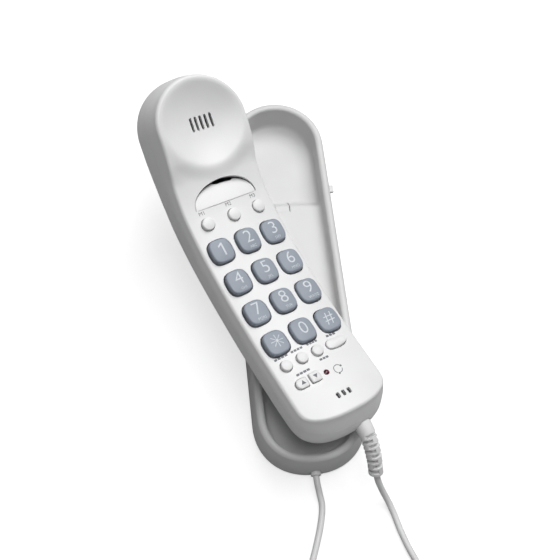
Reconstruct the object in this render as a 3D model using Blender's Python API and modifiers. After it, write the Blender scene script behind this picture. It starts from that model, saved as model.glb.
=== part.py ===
"""Slimline corded telephone: a keypad handset lying face up across its wall cradle.

Frame: metres, +Z up, the cradle lies on its back with its foot end towards -Y.
The origin is the centre of the bottom of the box round the cradle and the handset.
Handset pieces are drawn in the handset's own places (x across, s along the face,
t above the face), which bend() turns into points under the handset's empty.
"""
import math

import bmesh
import bpy
import numpy as np
from mathutils import Matrix, Vector

MM = 0.001
GAP = 0.3                                   # left between touching pieces, mm

# ---------------------------------------------------------------- frame and poses (mm, degrees)
CRADLE_AT = (21.23, 4.32, 0.0)               # the cradle's centre in the frame
HANDSET_AT = (-14.72, -24.07, 54.16)           # the centre of the keypad, from the cradle's centre
HANDSET_TURN = (3.27, 13.51, 24.28)

# ---------------------------------------------------------------- handset (mm)
S_MOUTH, S_EAR, EAR_R = -88.5, 101.0, 28.0  # ends of the face and centre of the ear head
BODY_HALF = 27.5                            # half width of the grip
MOUTH_CAP = 20.0                            # length of the rounded mouth end
PARTING = -11.0                             # the line between front and back shells, below the face
WALL = 2.0
CROWN = 0.008                               # curvature of the face across, 1/mm
DISH_R, DISH_DEPTH, COLLAR_RISE = 25.0, 6.0, 1.5
BEND_S = (-100.0, -60.0, -30.0, 0.0, 30.0, 48.0, 62.0, 76.0, 135.0)
BEND_DEG = (-7.0, -7.0, -4.5, 0.0, 6.0, 12.0, 22.0, 28.0, 28.0)
DEPTH_S = (-89.0, -60.0, 0.0, 50.0, 90.0, 128.0)
DEPTH_T = (27.0, 30.0, 31.0, 34.0, 36.0, 34.0)

# ---------------------------------------------------------------- keys (mm)
COL_PITCH, ROW_PITCH, ROW_MIDDLE = 17.0, 20.3, -1.8  # the twelve number keys
KEY_W, KEY_L, KEY_CORNER = 14.0, 14.0, 5.0
KEY_CLEAR = 0.4                             # between a key and its hole
KEY_TRAVEL = 1.2
KEY_STAND = 2.0                             # a number key's top above the face
KEY_ROOT = -3.4                             # the underside of every key
NUMBER_NAMES = (("1", "2", "3"), ("4", "5", "6"), ("7", "8", "9"), ("star", "0", "hash"))
MEMORY_S, MEMORY_PITCH, ROUND_R = 45.8, 16.6, 3.9
FUNCTION_S, FUNCTION_X, FUNCTION_PITCH, FUNCTION_R = -46.0, -18.7, 9.8, 3.6
OBLONG_X, OBLONG_W, OBLONG_L = 13.6, 13.0, 6.6
VOLUME_S, VOLUME_X, VOLUME_PITCH, VOLUME_W, VOLUME_L = -58.6, -17.4, 8.9, 7.8, 6.4
LAMP_X, LAMP_S, LAMP_R = -1.6, -59.0, 1.5
SLOTS_X, SLOT_PITCH, SLOT_W, SLOT_L, SLOT_COUNT = 2.0, 2.9, 1.4, 8.6, 5
MIC_S, MIC_PITCH, MIC_W, MIC_L = -73.2, 3.6, 2.0, 2.4
HANG_S, HANG_HALF, HANG_RISE = 56.0, 17.8, 12.0

# ---------------------------------------------------------------- cradle (mm)
CR_W, CR_L, CR_H = 60.0, 236.0, 23.0
CR_EAR_CAP, CR_FOOT_CAP, CR_FLARE = 32.0, 29.0, 2.8
FOOT_H = 1.2
PLATE_Z = (FOOT_H + GAP, FOOT_H + GAP + 1.8)
RECESS_Z, DECK_Z, CUP_Z = 5.4, 12.0, 9.0
RIDGE_Y, RIDGE_RUN = 47.0, 6.0
CUP_Y, CUP_RUN = -62.0, 10.0
FLOOR_T = 1.8
SCREW_AT = ((-19.0, 70.0), (19.0, 70.0), (-19.0, -70.0), (19.0, -70.0))
SCREW_R, HEAD_R, HEAD_T, HEAD_SINK = 1.2, 2.8, 0.6, 1.0
FEET_AT = ((-17.0, 88.0), (17.0, 88.0), (-17.0, -90.0), (17.0, -90.0))
HOOK_AT = (0.0, 6.0)
HANG_TAB_W, HANG_TAB_L = 8.8, 10.0
RINGER_Y, RINGER_Z, RINGER_TRAVEL, KNOB_L = 56.0, 13.0, 3.0, 5.0
CORD_HOLE_Z = 5.3

# ---------------------------------------------------------------- cord (mm)
CORD_D, CURL_D = 3.6, 11.5
BOOT_X, BOOT_T = 8.0, -15.0                 # where the cord leaves the mouth end
# the boot's middle and end, and the cord from there to the table, from the cradle's centre
BOOT_BEND = (30.4, -115.0, 35.5)
BOOT_END = (31.4, -126.6, 20.0)
HANDSET_TAIL = ((33.0, -131.0, 14.2), (35.4, -135.2, 8.6), (38.2, -140.2, 4.2), (40.6, -147.0, 2.2),
                (42.6, -155.5, 1.85), (45.6, -165.5, 1.85), (49.6, -175.5, 1.85), (53.0, -184.0, 2.6))
CRADLE_TAIL = ((0.2, -126.0, 4.9), (0.9, -131.5, 2.7), (1.5, -138.5, 1.85), (-0.4, -147.5, 1.85),
               (-4.0, -158.0, 1.85), (-8.4, -169.0, 1.85), (-12.4, -179.0, 2.4))
CURL_TOP, CURL_LEFT, CURL_RIGHT, CURL_LEG = -191.0, -15.0, 55.0, 60.0


# ================================================================ scene and materials
def clear_scene():
    """Empty the scene and make the two collections."""
    for thing in list(bpy.data.objects):
        bpy.data.objects.remove(thing, do_unlink=True)
    parts = bpy.data.collections.new("slimline_wall_phone")
    cutters = bpy.data.collections.new("cutters")
    for group in (parts, cutters):
        bpy.context.scene.collection.children.link(group)
    return parts, cutters


PARTS, CUTTERS = clear_scene()


def finish_of(name, colour, roughness, metallic=0.0):
    """A Principled material."""
    made = bpy.data.materials.new(name)
    made.use_nodes = True
    shader = made.node_tree.nodes["Principled BSDF"]
    shader.inputs["Base Color"].default_value = (*colour, 1.0)
    shader.inputs["Roughness"].default_value = roughness
    shader.inputs["Metallic"].default_value = metallic
    return made


FINISH = {
    "shell": ((0.82, 0.83, 0.84), 0.42, 0.0),
    "key": ((0.36, 0.39, 0.45), 0.45, 0.0),
    "lamp": ((0.30, 0.01, 0.04), 0.2, 0.0),
    "rubber": ((0.12, 0.12, 0.12), 0.8, 0.0),
    "silicone": ((0.55, 0.55, 0.52), 0.6, 0.0),
    "steel": ((0.60, 0.60, 0.62), 0.3, 1.0),
    "board": ((0.05, 0.25, 0.10), 0.5, 0.0),
    "black": ((0.03, 0.03, 0.03), 0.5, 0.0),
    "cord": ((0.80, 0.81, 0.82), 0.5, 0.0),
}


def keep(thing, finish, parent=None, group=PARTS):
    """Give a new object its material, parent and collection."""
    thing.data.materials.clear()
    if group is PARTS:
        thing.data.materials.append(finish_of(thing.name + "_finish", *FINISH[finish]))
    else:
        thing.hide_render = True
        thing.display_type = "WIRE"
    for old in list(thing.users_collection):
        old.objects.unlink(thing)
    group.objects.link(thing)
    thing.parent = parent
    return thing


def cut(target, cutter, operation="DIFFERENCE"):
    """Boolean with the exact solver."""
    step = target.modifiers.new(cutter.name, "BOOLEAN")
    step.operation = operation
    step.solver = "EXACT"
    step.object = cutter


# ================================================================ plain solids
def mesh_object(name, mesh_maker):
    """A mesh object whose faces a bmesh function makes."""
    mesh = bpy.data.meshes.new(name)
    work = bmesh.new()
    mesh_maker(work)
    bmesh.ops.recalc_face_normals(work, faces=work.faces)
    work.to_mesh(mesh)
    work.free()
    return bpy.data.objects.new(name, mesh)


def box(name, size, at, finish, parent=None, group=PARTS, turn=None):
    """A box of a size in mm, its centre at a place in mm."""
    def faces(work):
        bmesh.ops.create_cube(work, size=1.0)
        bmesh.ops.scale(work, vec=Vector(size) * MM, verts=work.verts)
    made = keep(mesh_object(name, faces), finish, parent, group)
    made.location = Vector(at) * MM
    if turn:
        made.rotation_euler = turn
    return made


def drum(name, radius, height, at, finish, parent=None, group=PARTS, sides=24, turn=None):
    """An upright cylinder, its centre at a place in mm."""
    def faces(work):
        bmesh.ops.create_cone(work, cap_ends=True, segments=sides, radius1=radius * MM,
                              radius2=radius * MM, depth=height * MM)
    made = keep(mesh_object(name, faces), finish, parent, group)
    made.location = Vector(at) * MM
    if turn:
        made.rotation_euler = turn
    return made


def turned(name, profile, at, finish, parent=None, turn=None, steps=20, closed_ring=False):
    """A solid of revolution about local Z; profile is (radius, z) in mm, top to bottom."""
    mesh = bpy.data.meshes.new(name)
    points = [(r * MM, 0.0, z * MM) for r, z in profile]
    edges = [(i, i + 1) for i in range(len(points) - 1)]
    if closed_ring:
        edges.append((len(points) - 1, 0))
    mesh.from_pydata(points, edges, [])
    made = keep(bpy.data.objects.new(name, mesh), finish, parent)
    screw = made.modifiers.new("turn", "SCREW")
    screw.steps = steps
    screw.render_steps = steps
    screw.use_merge_vertices = True
    screw.merge_threshold = 0.00001
    made.location = Vector(at) * MM
    if turn:
        made.rotation_euler = turn
    return made


def loft(name, rings, finish, parent=None, group=PARTS):
    """Quads between rings of equally many points, with both ends filled."""
    def faces(work):
        rows = [[work.verts.new(Vector(p) * MM) for p in ring] for ring in rings]
        for low, high in zip(rows[:-1], rows[1:]):
            for i in range(len(low)):
                j = (i + 1) % len(low)
                work.faces.new((low[i], low[j], high[j], high[i]))
        work.faces.new(list(reversed(rows[0])))
        work.faces.new(rows[-1])
    return keep(mesh_object(name, faces), finish, parent, group)


# ================================================================ stadium surfaces
def stadium(half_w, low, high, low_cap, high_cap, low_n, high_n, stations, cap_steps=8):
    """Outline points (x, y) of a long round-ended plan, each with its place on the spine."""
    points = []
    spine_low, spine_high = low + low_cap, high - high_cap
    for y in stations:
        points.append((half_w(y), y, y))
    for i in range(cap_steps * 2 + 1):
        a = math.pi * i / (2 * cap_steps)
        c, s = math.cos(a), math.sin(a)
        x = math.copysign(abs(c) ** (2 / high_n), c) * half_w(spine_high)
        points.append((x, spine_high + high_cap * abs(s) ** (2 / high_n), spine_high))
    for y in reversed(stations):
        points.append((-half_w(y), y, y))
    for i in range(cap_steps * 2 + 1):
        a = math.pi + math.pi * i / (2 * cap_steps)
        c, s = math.cos(a), math.sin(a)
        x = math.copysign(abs(c) ** (2 / low_n), c) * half_w(spine_low)
        points.append((x, spine_low - low_cap * abs(s) ** (2 / low_n), spine_low))
    return points


def ring_at(outline, inset):
    """The outline drawn in by a distance towards the spine (inset None: the spine itself)."""
    ring = []
    for x, y, spine in outline:
        reach = math.hypot(x, y - spine)
        share = 0.0 if inset is None else max(0.0, 1.0 - inset / reach)
        ring.append((x * share, spine + (y - spine) * share))
    return ring


def closed_skin(name, rings, finish, parent=None):
    """A closed solid from rings whose first and last lie on the spine line and weld shut there."""
    def faces(work):
        rows = [[work.verts.new(Vector(p) * MM) for p in ring] for ring in rings]
        for low, high in zip(rows[:-1], rows[1:]):
            for i in range(len(low)):
                j = (i + 1) % len(low)
                work.faces.new((low[i], low[j], high[j], high[i]))
        bmesh.ops.remove_doubles(work, verts=work.verts, dist=0.00002)
        bmesh.ops.dissolve_degenerate(work, dist=0.00002, edges=work.edges)
    return keep(mesh_object(name, faces), finish, parent)


# ================================================================ handset places
def smooth_step(a, b, value):
    """0 below a, 1 above b, smooth between."""
    share = min(1.0, max(0.0, (value - a) / (b - a)))
    return share * share * (3.0 - 2.0 * share)


def face_line():
    """The face's centre line as arrays of s, slope angle, y and z."""
    step = 0.5
    s = np.arange(-110.0, 140.0 + step / 2, step)
    angle = np.interp(s, BEND_S, np.radians(BEND_DEG))
    spread = 10
    kernel = np.ones(2 * spread + 1) / (2 * spread + 1)
    angle = np.convolve(np.pad(angle, spread, mode="edge"), kernel, "valid")
    y = np.cumsum(np.cos(angle) * step)
    z = np.cumsum(np.sin(angle) * step)
    middle = int(np.argmin(np.abs(s)))
    return s, angle, y - y[middle], z - z[middle]


LINE = face_line()


def bend(x, s, t):
    """A point x across, s along the face and t above its centre line, in the handset's frame."""
    angle, y, z = (float(np.interp(s, LINE[0], row)) for row in LINE[1:])
    return (x, y - math.sin(angle) * t, z + math.cos(angle) * t)


def slope(s):
    """The face's slope angle at s."""
    return float(np.interp(s, LINE[0], LINE[1]))


def face_t(x, s):
    """Height of the face above its centre line: crowned across, with the ear collar and dish."""
    crown = -CROWN / 2 * x * x
    reach = math.hypot(x, s - S_EAR)
    collar = COLLAR_RISE * (1.0 - smooth_step(DISH_R, DISH_R + 9.0, reach))
    bowl = 0.0
    if reach < DISH_R:
        bowl = DISH_DEPTH * (1.0 - (reach / DISH_R) ** 2)
    return crown * (1.0 - smooth_step(70.0, 84.0, s)) + collar - bowl


def body_depth(s):
    """How far the back of the handset lies below the face line."""
    return float(np.interp(s, DEPTH_S, DEPTH_T))


def handset_outline():
    """The handset's plan in x and s."""
    stations = [-72.0 + 8.0 * i for i in range(1, 15)]
    stations += [47.0, 53.0, 60.0, 68.0, 74.0, 80.0, 86.0, 92.0, 97.0]
    return stadium(lambda s: BODY_HALF + (EAR_R - BODY_HALF) * smooth_step(60, 90, s),
                   S_MOUTH, S_EAR + EAR_R, MOUTH_CAP, EAR_R, 2.6, 2.0, stations)


def placed(ring, height):
    """A plan ring lifted to a height function of (x, s) and bent onto the handset."""
    return [bend(x, s, height(x, s)) for x, s in ring]


def handset_front(parent):
    """Front shell: face, ear dish and the upper half of the flanks, hollow behind."""
    plan = handset_outline()
    outer = ((None, 0.0), (18.0, 0.0), (12.0, 0.0), (7.0, 0.0), (3.0, -0.1), (1.0, -0.9), (0.2, -2.6))
    rings = [placed(ring_at(plan, inset), lambda x, s, d=drop: face_t(x, s) + d) for inset, drop in outer]
    rings.append(placed(ring_at(plan, 0.0), lambda x, s: PARTING + 4.0))
    rings.append(placed(ring_at(plan, 0.0), lambda x, s: PARTING))
    rings.append(placed(ring_at(plan, WALL), lambda x, s: PARTING))
    rings.append(placed(ring_at(plan, WALL + 0.4), lambda x, s: min(PARTING + 4.0, face_t(x, s) - 3.4)))
    for inset, drop in ((3.4, -WALL - 0.9), (7.0, -WALL), (12.0, -WALL), (18.0, -WALL), (None, -WALL)):
        rings.append(placed(ring_at(plan, inset), lambda x, s, d=drop: face_t(x, s) + d))
    return closed_skin("handset_front_shell", rings, "shell", parent)


def handset_back(parent):
    """Back shell: the lower half of the flanks and the rounded back, hollow inside."""
    plan = handset_outline()

    def below(share, lift=0.0):
        return lambda x, s: PARTING - GAP - share * (body_depth(s) + PARTING + GAP - lift)
    outer = ((None, 1.0), (14.0, 1.0), (9.0, 0.97), (5.0, 0.89), (2.2, 0.74), (0.6, 0.55), (0.0, 0.35),
             (0.0, 0.0))
    inner = ((WALL, 0.0), (WALL, 0.35), (WALL + 1.0, 0.55), (5.2, 0.78), (8.6, 0.92), (14.0, 1.0),
             (None, 1.0))
    rings = [placed(ring_at(plan, inset), below(share)) for inset, share in outer]
    rings += [placed(ring_at(plan, inset), below(share, WALL)) for inset, share in inner]
    return closed_skin("handset_back_shell", rings, "shell", parent)


def on_face(x, s, t=0.0):
    """Place (mm) and turn of something that stands on the face at x, s."""
    return bend(x, s, t), (slope(s), 0.0, 0.0)


def rounded_plan(width, length, corner, steps=4):
    """A rounded rectangle's corner points, in order round it."""
    points = []
    for quarter in range(4):
        a0 = quarter * math.pi / 2
        cx = (width / 2 - corner) * (1 if quarter in (0, 3) else -1)
        cy = (length / 2 - corner) * (1 if quarter in (0, 1) else -1)
        for i in range(steps + 1):
            a = a0 + math.pi / 2 * i / steps
            points.append((cx + corner * math.cos(a), cy + corner * math.sin(a)))
    return points


def prism(name, plan, levels, finish, parent=None, group=PARTS):
    """A solid through copies of a plan: levels are (scale, z) from the bottom up."""
    rings = [[(x * scale, y * scale, z) for x, y in plan] for scale, z in levels]
    return loft(name, rings, finish, parent, group)


def key(name, plan, x, s, stand, finish, handset, shell, hole_grow):
    """A domed key and its hole in the front shell."""
    top = face_t(x, s)
    at, turn = on_face(x, s)
    cap = prism(name, plan, ((1.0, KEY_ROOT + top), (1.0, top + stand * 0.55), (0.93, top + stand * 0.85),
                             (0.70, top + stand), (0.30, top + stand + 0.1)), finish, handset)
    cap.location = Vector(at) * MM
    cap.rotation_euler = turn
    reach = max(math.hypot(px, py) for px, py in plan)
    hole = prism(name + "_hole", plan, ((1.0 + hole_grow / reach, -8.0), (1.0 + hole_grow / reach, 4.0)),
                 finish, handset, CUTTERS)
    hole.location = cap.location
    hole.rotation_euler = turn
    cut(shell, hole)
    return cap


def half_round_plan(width, length):
    """A plan with a half-round left end and softly cornered right end."""
    far, end, corner, chamfer = width / 2, length / 2, 1.0, 0.3
    left = [(end - far + end * math.cos(a), end * math.sin(a))
            for a in (math.pi / 2 + math.pi * i / 8 for i in range(9))]
    right = [(far - corner, -end), (far - chamfer, chamfer - end), (far, corner - end)]
    return left + right + [(x, -y) for x, y in reversed(right)]


def keypad(handset, shell):
    """Twelve number keys, three memory keys, four function keys and two volume keys."""
    number = rounded_plan(KEY_W, KEY_L, KEY_CORNER)
    for row, names in enumerate(NUMBER_NAMES):
        for column, mark in enumerate(names):
            key("key_" + mark, number, (column - 1) * COL_PITCH,
                ROW_MIDDLE + (1.5 - row) * ROW_PITCH, KEY_STAND, "key", handset, shell, KEY_CLEAR)
    angles = [math.tau * i / 16 for i in range(16)]
    button = [(ROUND_R * math.cos(a), ROUND_R * math.sin(a)) for a in angles]
    for i in range(3):
        key(f"memory_key_{i + 1}", button, (i - 1) * MEMORY_PITCH, MEMORY_S, 1.5, "shell", handset, shell,
            KEY_CLEAR)
    small = [(x * FUNCTION_R / ROUND_R, y * FUNCTION_R / ROUND_R) for x, y in button]
    for i in range(3):
        key(f"function_key_{i + 1}", small, FUNCTION_X + i * FUNCTION_PITCH, FUNCTION_S, 1.5, "shell",
            handset, shell, KEY_CLEAR)
    key("recall_key", rounded_plan(OBLONG_W, OBLONG_L, 2.8), OBLONG_X, FUNCTION_S, 1.5, "shell", handset,
        shell, KEY_CLEAR)
    lower = half_round_plan(VOLUME_W, VOLUME_L)
    key("volume_up_key", lower, VOLUME_X, VOLUME_S, 1.2, "shell", handset, shell, KEY_CLEAR)
    key("volume_down_key", rounded_plan(VOLUME_W - 0.8, VOLUME_L, 1.4), VOLUME_X + VOLUME_PITCH, VOLUME_S,
        1.2, "shell", handset, shell, KEY_CLEAR)


def face_slots(handset, shell):
    """Sound slots over the receiver and the microphone."""
    for i in range(SLOT_COUNT):
        x = SLOTS_X + (i - (SLOT_COUNT - 1) / 2) * SLOT_PITCH
        at, turn = on_face(x, S_EAR, -DISH_DEPTH)
        cut(shell, box(f"ear_slot_{i}", (SLOT_W, SLOT_L, 8.0), at, "shell", handset, CUTTERS, turn))
    for i in range(3):
        at, turn = on_face((i - 1) * MIC_PITCH, MIC_S)
        cut(shell, box(f"mouth_slot_{i}", (MIC_W, MIC_L, 8.0), at, "shell", handset, CUTTERS, turn))


def crescent(half, rise, steps=12):
    """Outline with a straight lower edge and an arched upper one."""
    radius = (half * half + rise * rise) / (2 * rise)
    reach = math.asin(half / radius)
    angles = [reach - 2 * reach * i / steps for i in range(steps + 1)]
    return [(radius * math.sin(a), radius * math.cos(a) - radius + rise) for a in angles]


def hang_slot(handset, shell):
    """The crescent opening below the ear dish, and the ramp behind it that the wall hook enters."""
    at, turn = on_face(0.0, HANG_S)
    opening = crescent(HANG_HALF, HANG_RISE)
    walls = [[(x, y, z) for x, y in opening] for z in (-9.0, 9.0)]
    hole = loft("hang_opening", walls, "shell", handset, CUTTERS)
    hole.location = Vector(at) * MM
    hole.rotation_euler = turn
    cut(shell, hole)
    plan = crescent(HANG_HALF - GAP - 0.1, HANG_RISE - GAP - 0.6)

    def top(x, y):
        return face_t(x, HANG_S + y) - 1.2 - 2.6 * y / HANG_RISE
    lower = [(x, y + 0.25, top(x, y) - 1.6) for x, y in plan]
    upper = [(x, y + 0.25, top(x, y)) for x, y in plan]
    ramp = loft("hang_slot_ramp", [lower, upper], "shell", handset)
    ramp.location = Vector(at) * MM
    ramp.rotation_euler = turn


def bent_plate(name, x_low, x_high, s_low, s_high, t_high, thickness, finish, handset, bays=8):
    """A plate that follows the bend of the face at a depth below it."""
    rings = []
    for i in range(bays + 1):
        s = s_low + (s_high - s_low) * i / bays
        rings.append([bend(x, s, t) for x, t in ((x_low, t_high - thickness), (x_high, t_high - thickness),
                                                 (x_high, t_high), (x_low, t_high))])
    return loft(name, rings, finish, handset)


def handset_inside(handset):
    """What the shells hold: capsules, gaskets, keypad mat, circuit board, lamp and ballast."""
    ear_at, ear_turn = on_face(0.0, S_EAR, -DISH_DEPTH - WALL - 2.2)
    gasket = ((15.0, 1.4), (15.0, -1.4), (11.0, -1.4), (11.0, 1.4))
    turned("receiver_gasket", gasket, ear_at, "rubber", handset, ear_turn, 24, closed_ring=True)
    at, _ = on_face(0.0, S_EAR, -DISH_DEPTH - WALL - 2.2 - 1.4 - GAP - 4.0)
    drum("receiver_capsule", 16.0, 8.0, at, "black", handset, turn=ear_turn)
    mic_at, mic_turn = on_face(0.0, MIC_S, -WALL - 3.4)
    sleeve = ((6.4, 2.6), (6.4, -2.6), (5.1, -2.6), (5.1, 2.6))
    turned("microphone_boot", sleeve, mic_at, "rubber", handset, mic_turn, 20, closed_ring=True)
    drum("microphone_capsule", 4.8, 4.4, mic_at, "steel", handset, sides=20, turn=mic_turn)
    mat_top = KEY_ROOT + face_t(COL_PITCH, 0.0) - KEY_TRAVEL - 3 * GAP
    bent_plate("keypad_mat", -23.6, 23.6, -66.0, 52.0, mat_top, 1.2, "silicone", handset)
    board_top = mat_top - 1.2 - GAP
    bent_plate("handset_circuit_board", -22.5, 22.5, -64.0, 50.0, board_top, 1.6, "board", handset)
    bent_plate("ballast_bar", -9.0, 9.0, -40.0, 30.0, -19.0, 6.0, "steel", handset, bays=5)
    at, turn = on_face(LAMP_X, LAMP_S, face_t(LAMP_X, LAMP_S) - 1.4)
    drum("in_use_lamp", LAMP_R, 4.0, at, "lamp", handset, sides=12, turn=turn)


def lamp_hole(handset, shell):
    """The lamp's hole in the front shell."""
    at, turn = on_face(LAMP_X, LAMP_S)
    cut(shell, drum("lamp_hole", LAMP_R + GAP, 10.0, at, "shell", handset, CUTTERS, 12, turn))


def handset_matrix():
    """The handset's place and turn in the frame, metres."""
    turn = Matrix.Rotation(math.radians(HANDSET_TURN[2]), 4, "Z")
    turn = turn @ Matrix.Rotation(math.radians(HANDSET_TURN[1]), 4, "Y")
    turn = turn @ Matrix.Rotation(math.radians(HANDSET_TURN[0]), 4, "X")
    return Matrix.Translation((Vector(CRADLE_AT) + Vector(HANDSET_AT)) * MM) @ turn


def in_handset(place):
    """A place given from the cradle's centre (mm), in the handset's own frame (mm)."""
    return handset_matrix().inverted() @ ((Vector(place) + Vector(CRADLE_AT)) * MM) / MM


def swept(name, path, radii, finish, parent=None, sides=16):
    """A round solid along a path of points, each with its own radius."""
    rings = []
    side = Vector((1.0, 0.0, 0.0))
    for i, point in enumerate(path):
        ahead = (path[min(i + 1, len(path) - 1)] - path[max(i - 1, 0)]).normalized()
        up = ahead.cross(side).normalized()
        across = up.cross(ahead).normalized()
        rings.append([point + (across * math.cos(a) + up * math.sin(a)) * radii[i]
                      for a in (math.tau * k / sides for k in range(sides))])
    return loft(name, rings, finish, parent)


def quadratic(a, b, c, share):
    """A point on the curve from a to c that leaves towards b."""
    return a * (1 - share) ** 2 + b * 2 * share * (1 - share) + c * share ** 2


def strain_relief(handset, shells):
    """Ringed flexible boot on the handset's cord, and the hole it passes in both shells."""
    root = Vector(bend(BOOT_X, S_MOUTH, BOOT_T))
    inside = Vector(bend(BOOT_X, S_MOUTH + 5.0, BOOT_T))
    facing = (slope(S_MOUTH) - math.pi / 2, 0.0, 0.0)
    hole = drum("boot_hole", 5.0, 14.0, root, "shell", handset, CUTTERS, 16, facing)
    for shell in shells:
        cut(shell, hole)
    middle, end = in_handset(BOOT_BEND), in_handset(BOOT_END)
    path, radii = [inside, root + (inside - root) * 0.1], [4.1, 4.1]
    rings, per_ring = 6, 4
    for i in range(rings * per_ring + 1):
        share = (i + 2.5) / (rings * per_ring + 2.5)
        path.append(quadratic(root, middle, end, share))
        outer = 4.9 - 0.9 * share
        radii.append(outer if i % per_ring in (0, 1, 2) else outer - 1.0)
    swept("handset_strain_relief", path, radii, "shell", handset)


# ================================================================ cradle
def cradle_outline(grow=0.0):
    """The cradle's plan; grow widens it all round."""
    low, high = -CR_L / 2 - grow, CR_L / 2 + grow
    stations = [-84.0, -74.0, -68.0, -62.0, -56.0, -50.0, -36.0, -20.0, -4.0, 12.0, 28.0, 40.0]
    stations += [44.0, 47.0, 49.0, 51.0, 53.0, 58.0, 70.0]
    return stadium(lambda y: CR_W / 2 + grow, low, high, CR_FOOT_CAP + grow, CR_EAR_CAP + grow, 2.2, 2.0,
                   stations, 7)


def cradle_floor(x, y):
    """Height of the cradle's floor: ear recess, raised deck and mouth cup."""
    deck = smooth_step(CUP_Y - CUP_RUN, CUP_Y, y) * (DECK_Z - CUP_Z) + CUP_Z
    return deck + (RECESS_Z - deck) * smooth_step(RIDGE_Y, RIDGE_Y + RIDGE_RUN, y)


def cradle_shell(cradle):
    """Cradle: drafted outer wall, rounded rim, inner wall and the stepped floor, open underneath."""
    plan = cradle_outline()

    def flat(z, inset):
        return [(x, y, z) for x, y in ring_at(plan, inset)]

    def floor(inset, lift):
        return [(x, y, cradle_floor(x, y) + lift) for x, y in ring_at(plan, inset)]
    bottom = PLATE_Z[0]
    rings = [floor(None, 0.0), floor(18.0, 0.0), floor(9.0, 0.0), floor(6.2, 0.3), floor(5.0, 2.0),
             flat(CR_H - 2.6, 3.4), flat(CR_H - 0.7, 2.9), flat(CR_H, 1.9), flat(CR_H, 1.1),
             flat(CR_H - 0.7, 0.25), flat(CR_H - 2.6, 0.0), flat(10.0, -1.6), flat(bottom, -CR_FLARE),
             flat(bottom, -CR_FLARE + 2.4), flat(3.6, 1.6), floor(8.0, -FLOOR_T), floor(18.0, -FLOOR_T),
             floor(None, -FLOOR_T)]
    shell = closed_skin("cradle_shell", rings, "shell", cradle)
    for i, (x, y) in enumerate(SCREW_AT):
        top = cradle_floor(x, y) - FLOOR_T / 2
        low = PLATE_Z[1] + GAP
        middle = (x, y, (top + low) / 2)
        post = drum(f"screw_post_{i}", 3.2, top - low, middle, "shell", cradle, CUTTERS, 12)
        cut(shell, post, "UNION")
    return shell


def cradle_pieces(cradle):
    """Everything fixed in the cradle and the two pieces that slide in it."""
    floor_z = PLATE_Z[1] + GAP
    shell = cradle_shell(cradle)
    plan = cradle_outline()
    inner = ring_at(plan, 1.8)
    plate = loft("cradle_back_plate", [[(x, y, z) for x, y in inner] for z in PLATE_Z], "shell", cradle)
    for i, (x, y) in enumerate(SCREW_AT):
        hole = drum(f"screw_hole_{i}", SCREW_R + 0.4, 6.0, (x, y, 2.0), "shell", cradle, CUTTERS, 10)
        cut(plate, hole)
        sunk = (x, y, PLATE_Z[0])
        sink = drum(f"screw_sink_{i}", HEAD_R + GAP, 2 * HEAD_SINK, sunk, "shell", cradle, CUTTERS)
        cut(plate, sink)
        seat = PLATE_Z[0] + HEAD_SINK - GAP
        profile = ((0.0, 4.2), (SCREW_R, 4.2), (SCREW_R, seat), (HEAD_R, seat), (HEAD_R, seat - HEAD_T),
                   (0.0, seat - HEAD_T))
        turned(f"plate_screw_{i + 1}", profile, (x, y, 0.0), "steel", cradle, steps=12)
        bore = drum(f"screw_bore_{i}", 1.6, 3.0, (x, y, 4.0), "shell", cradle, CUTTERS, 10)
        cut(shell, bore)
    for i, (x, y) in enumerate(FEET_AT):
        drum(f"rubber_foot_{i + 1}", 5.0, FOOT_H, (x, y, FOOT_H / 2), "rubber", cradle, sides=20)
    hook_x, hook_y = HOOK_AT
    cut(shell, box("plunger_hole", (7.0, 9.0, 8.0), (hook_x, hook_y, DECK_Z), "shell", cradle, CUTTERS))
    flange, stem = rounded_plan(8.4, 10.4, 1.0, 2), rounded_plan(6.2, 8.2, 1.0, 2)
    shoulder = DECK_Z - FLOOR_T - GAP
    levels = ((flange, 7.9), (flange, shoulder), (stem, shoulder), (stem, 15.4),
              ([(x * 0.8, y * 0.8) for x, y in stem], 16.0))
    rings = [[(x, y, z) for x, y in plan_at] for plan_at, z in levels]
    plunger = loft("hook_switch_plunger", rings, "shell", cradle)
    plunger.location = Vector((hook_x, hook_y, 0.0)) * MM
    box("hook_microswitch", (10.0, 8.0, 5.0), (hook_x, hook_y + 11.0, floor_z + 2.5), "black", cradle)
    box("cradle_circuit_board", (40.0, 34.0, 1.6), (0.0, -26.0, floor_z + 0.8), "board", cradle)
    drum("ringer_disc", 12.0, 3.6, (0.0, -26.0, floor_z + GAP + 3.4), "steel", cradle)
    hang_tab(cradle, shell)
    ringer_switch(cradle, shell)
    grommets(cradle, shell, plate)


def hang_tab(cradle, shell):
    """The tab across the ridge that the hung handset hooks on, flush in its slot."""
    slot = (HANG_TAB_W + 2 * GAP, HANG_TAB_L + 2 * GAP, 20.0)
    cut(shell, box("hang_tab_slot", slot, (0.0, RIDGE_Y + 1.0, DECK_Z), "shell", cradle, CUTTERS))
    half = HANG_TAB_W / 2
    rings = []
    for i in range(9):
        y = RIDGE_Y + 1.0 - HANG_TAB_L / 2 + HANG_TAB_L * i / 8
        top = cradle_floor(0.0, y)
        rings.append([(-half, y, top - 1.6), (half, y, top - 1.6), (half, y, top), (-half, y, top)])
    loft("wall_hang_tab", rings, "shell", cradle)


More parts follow.
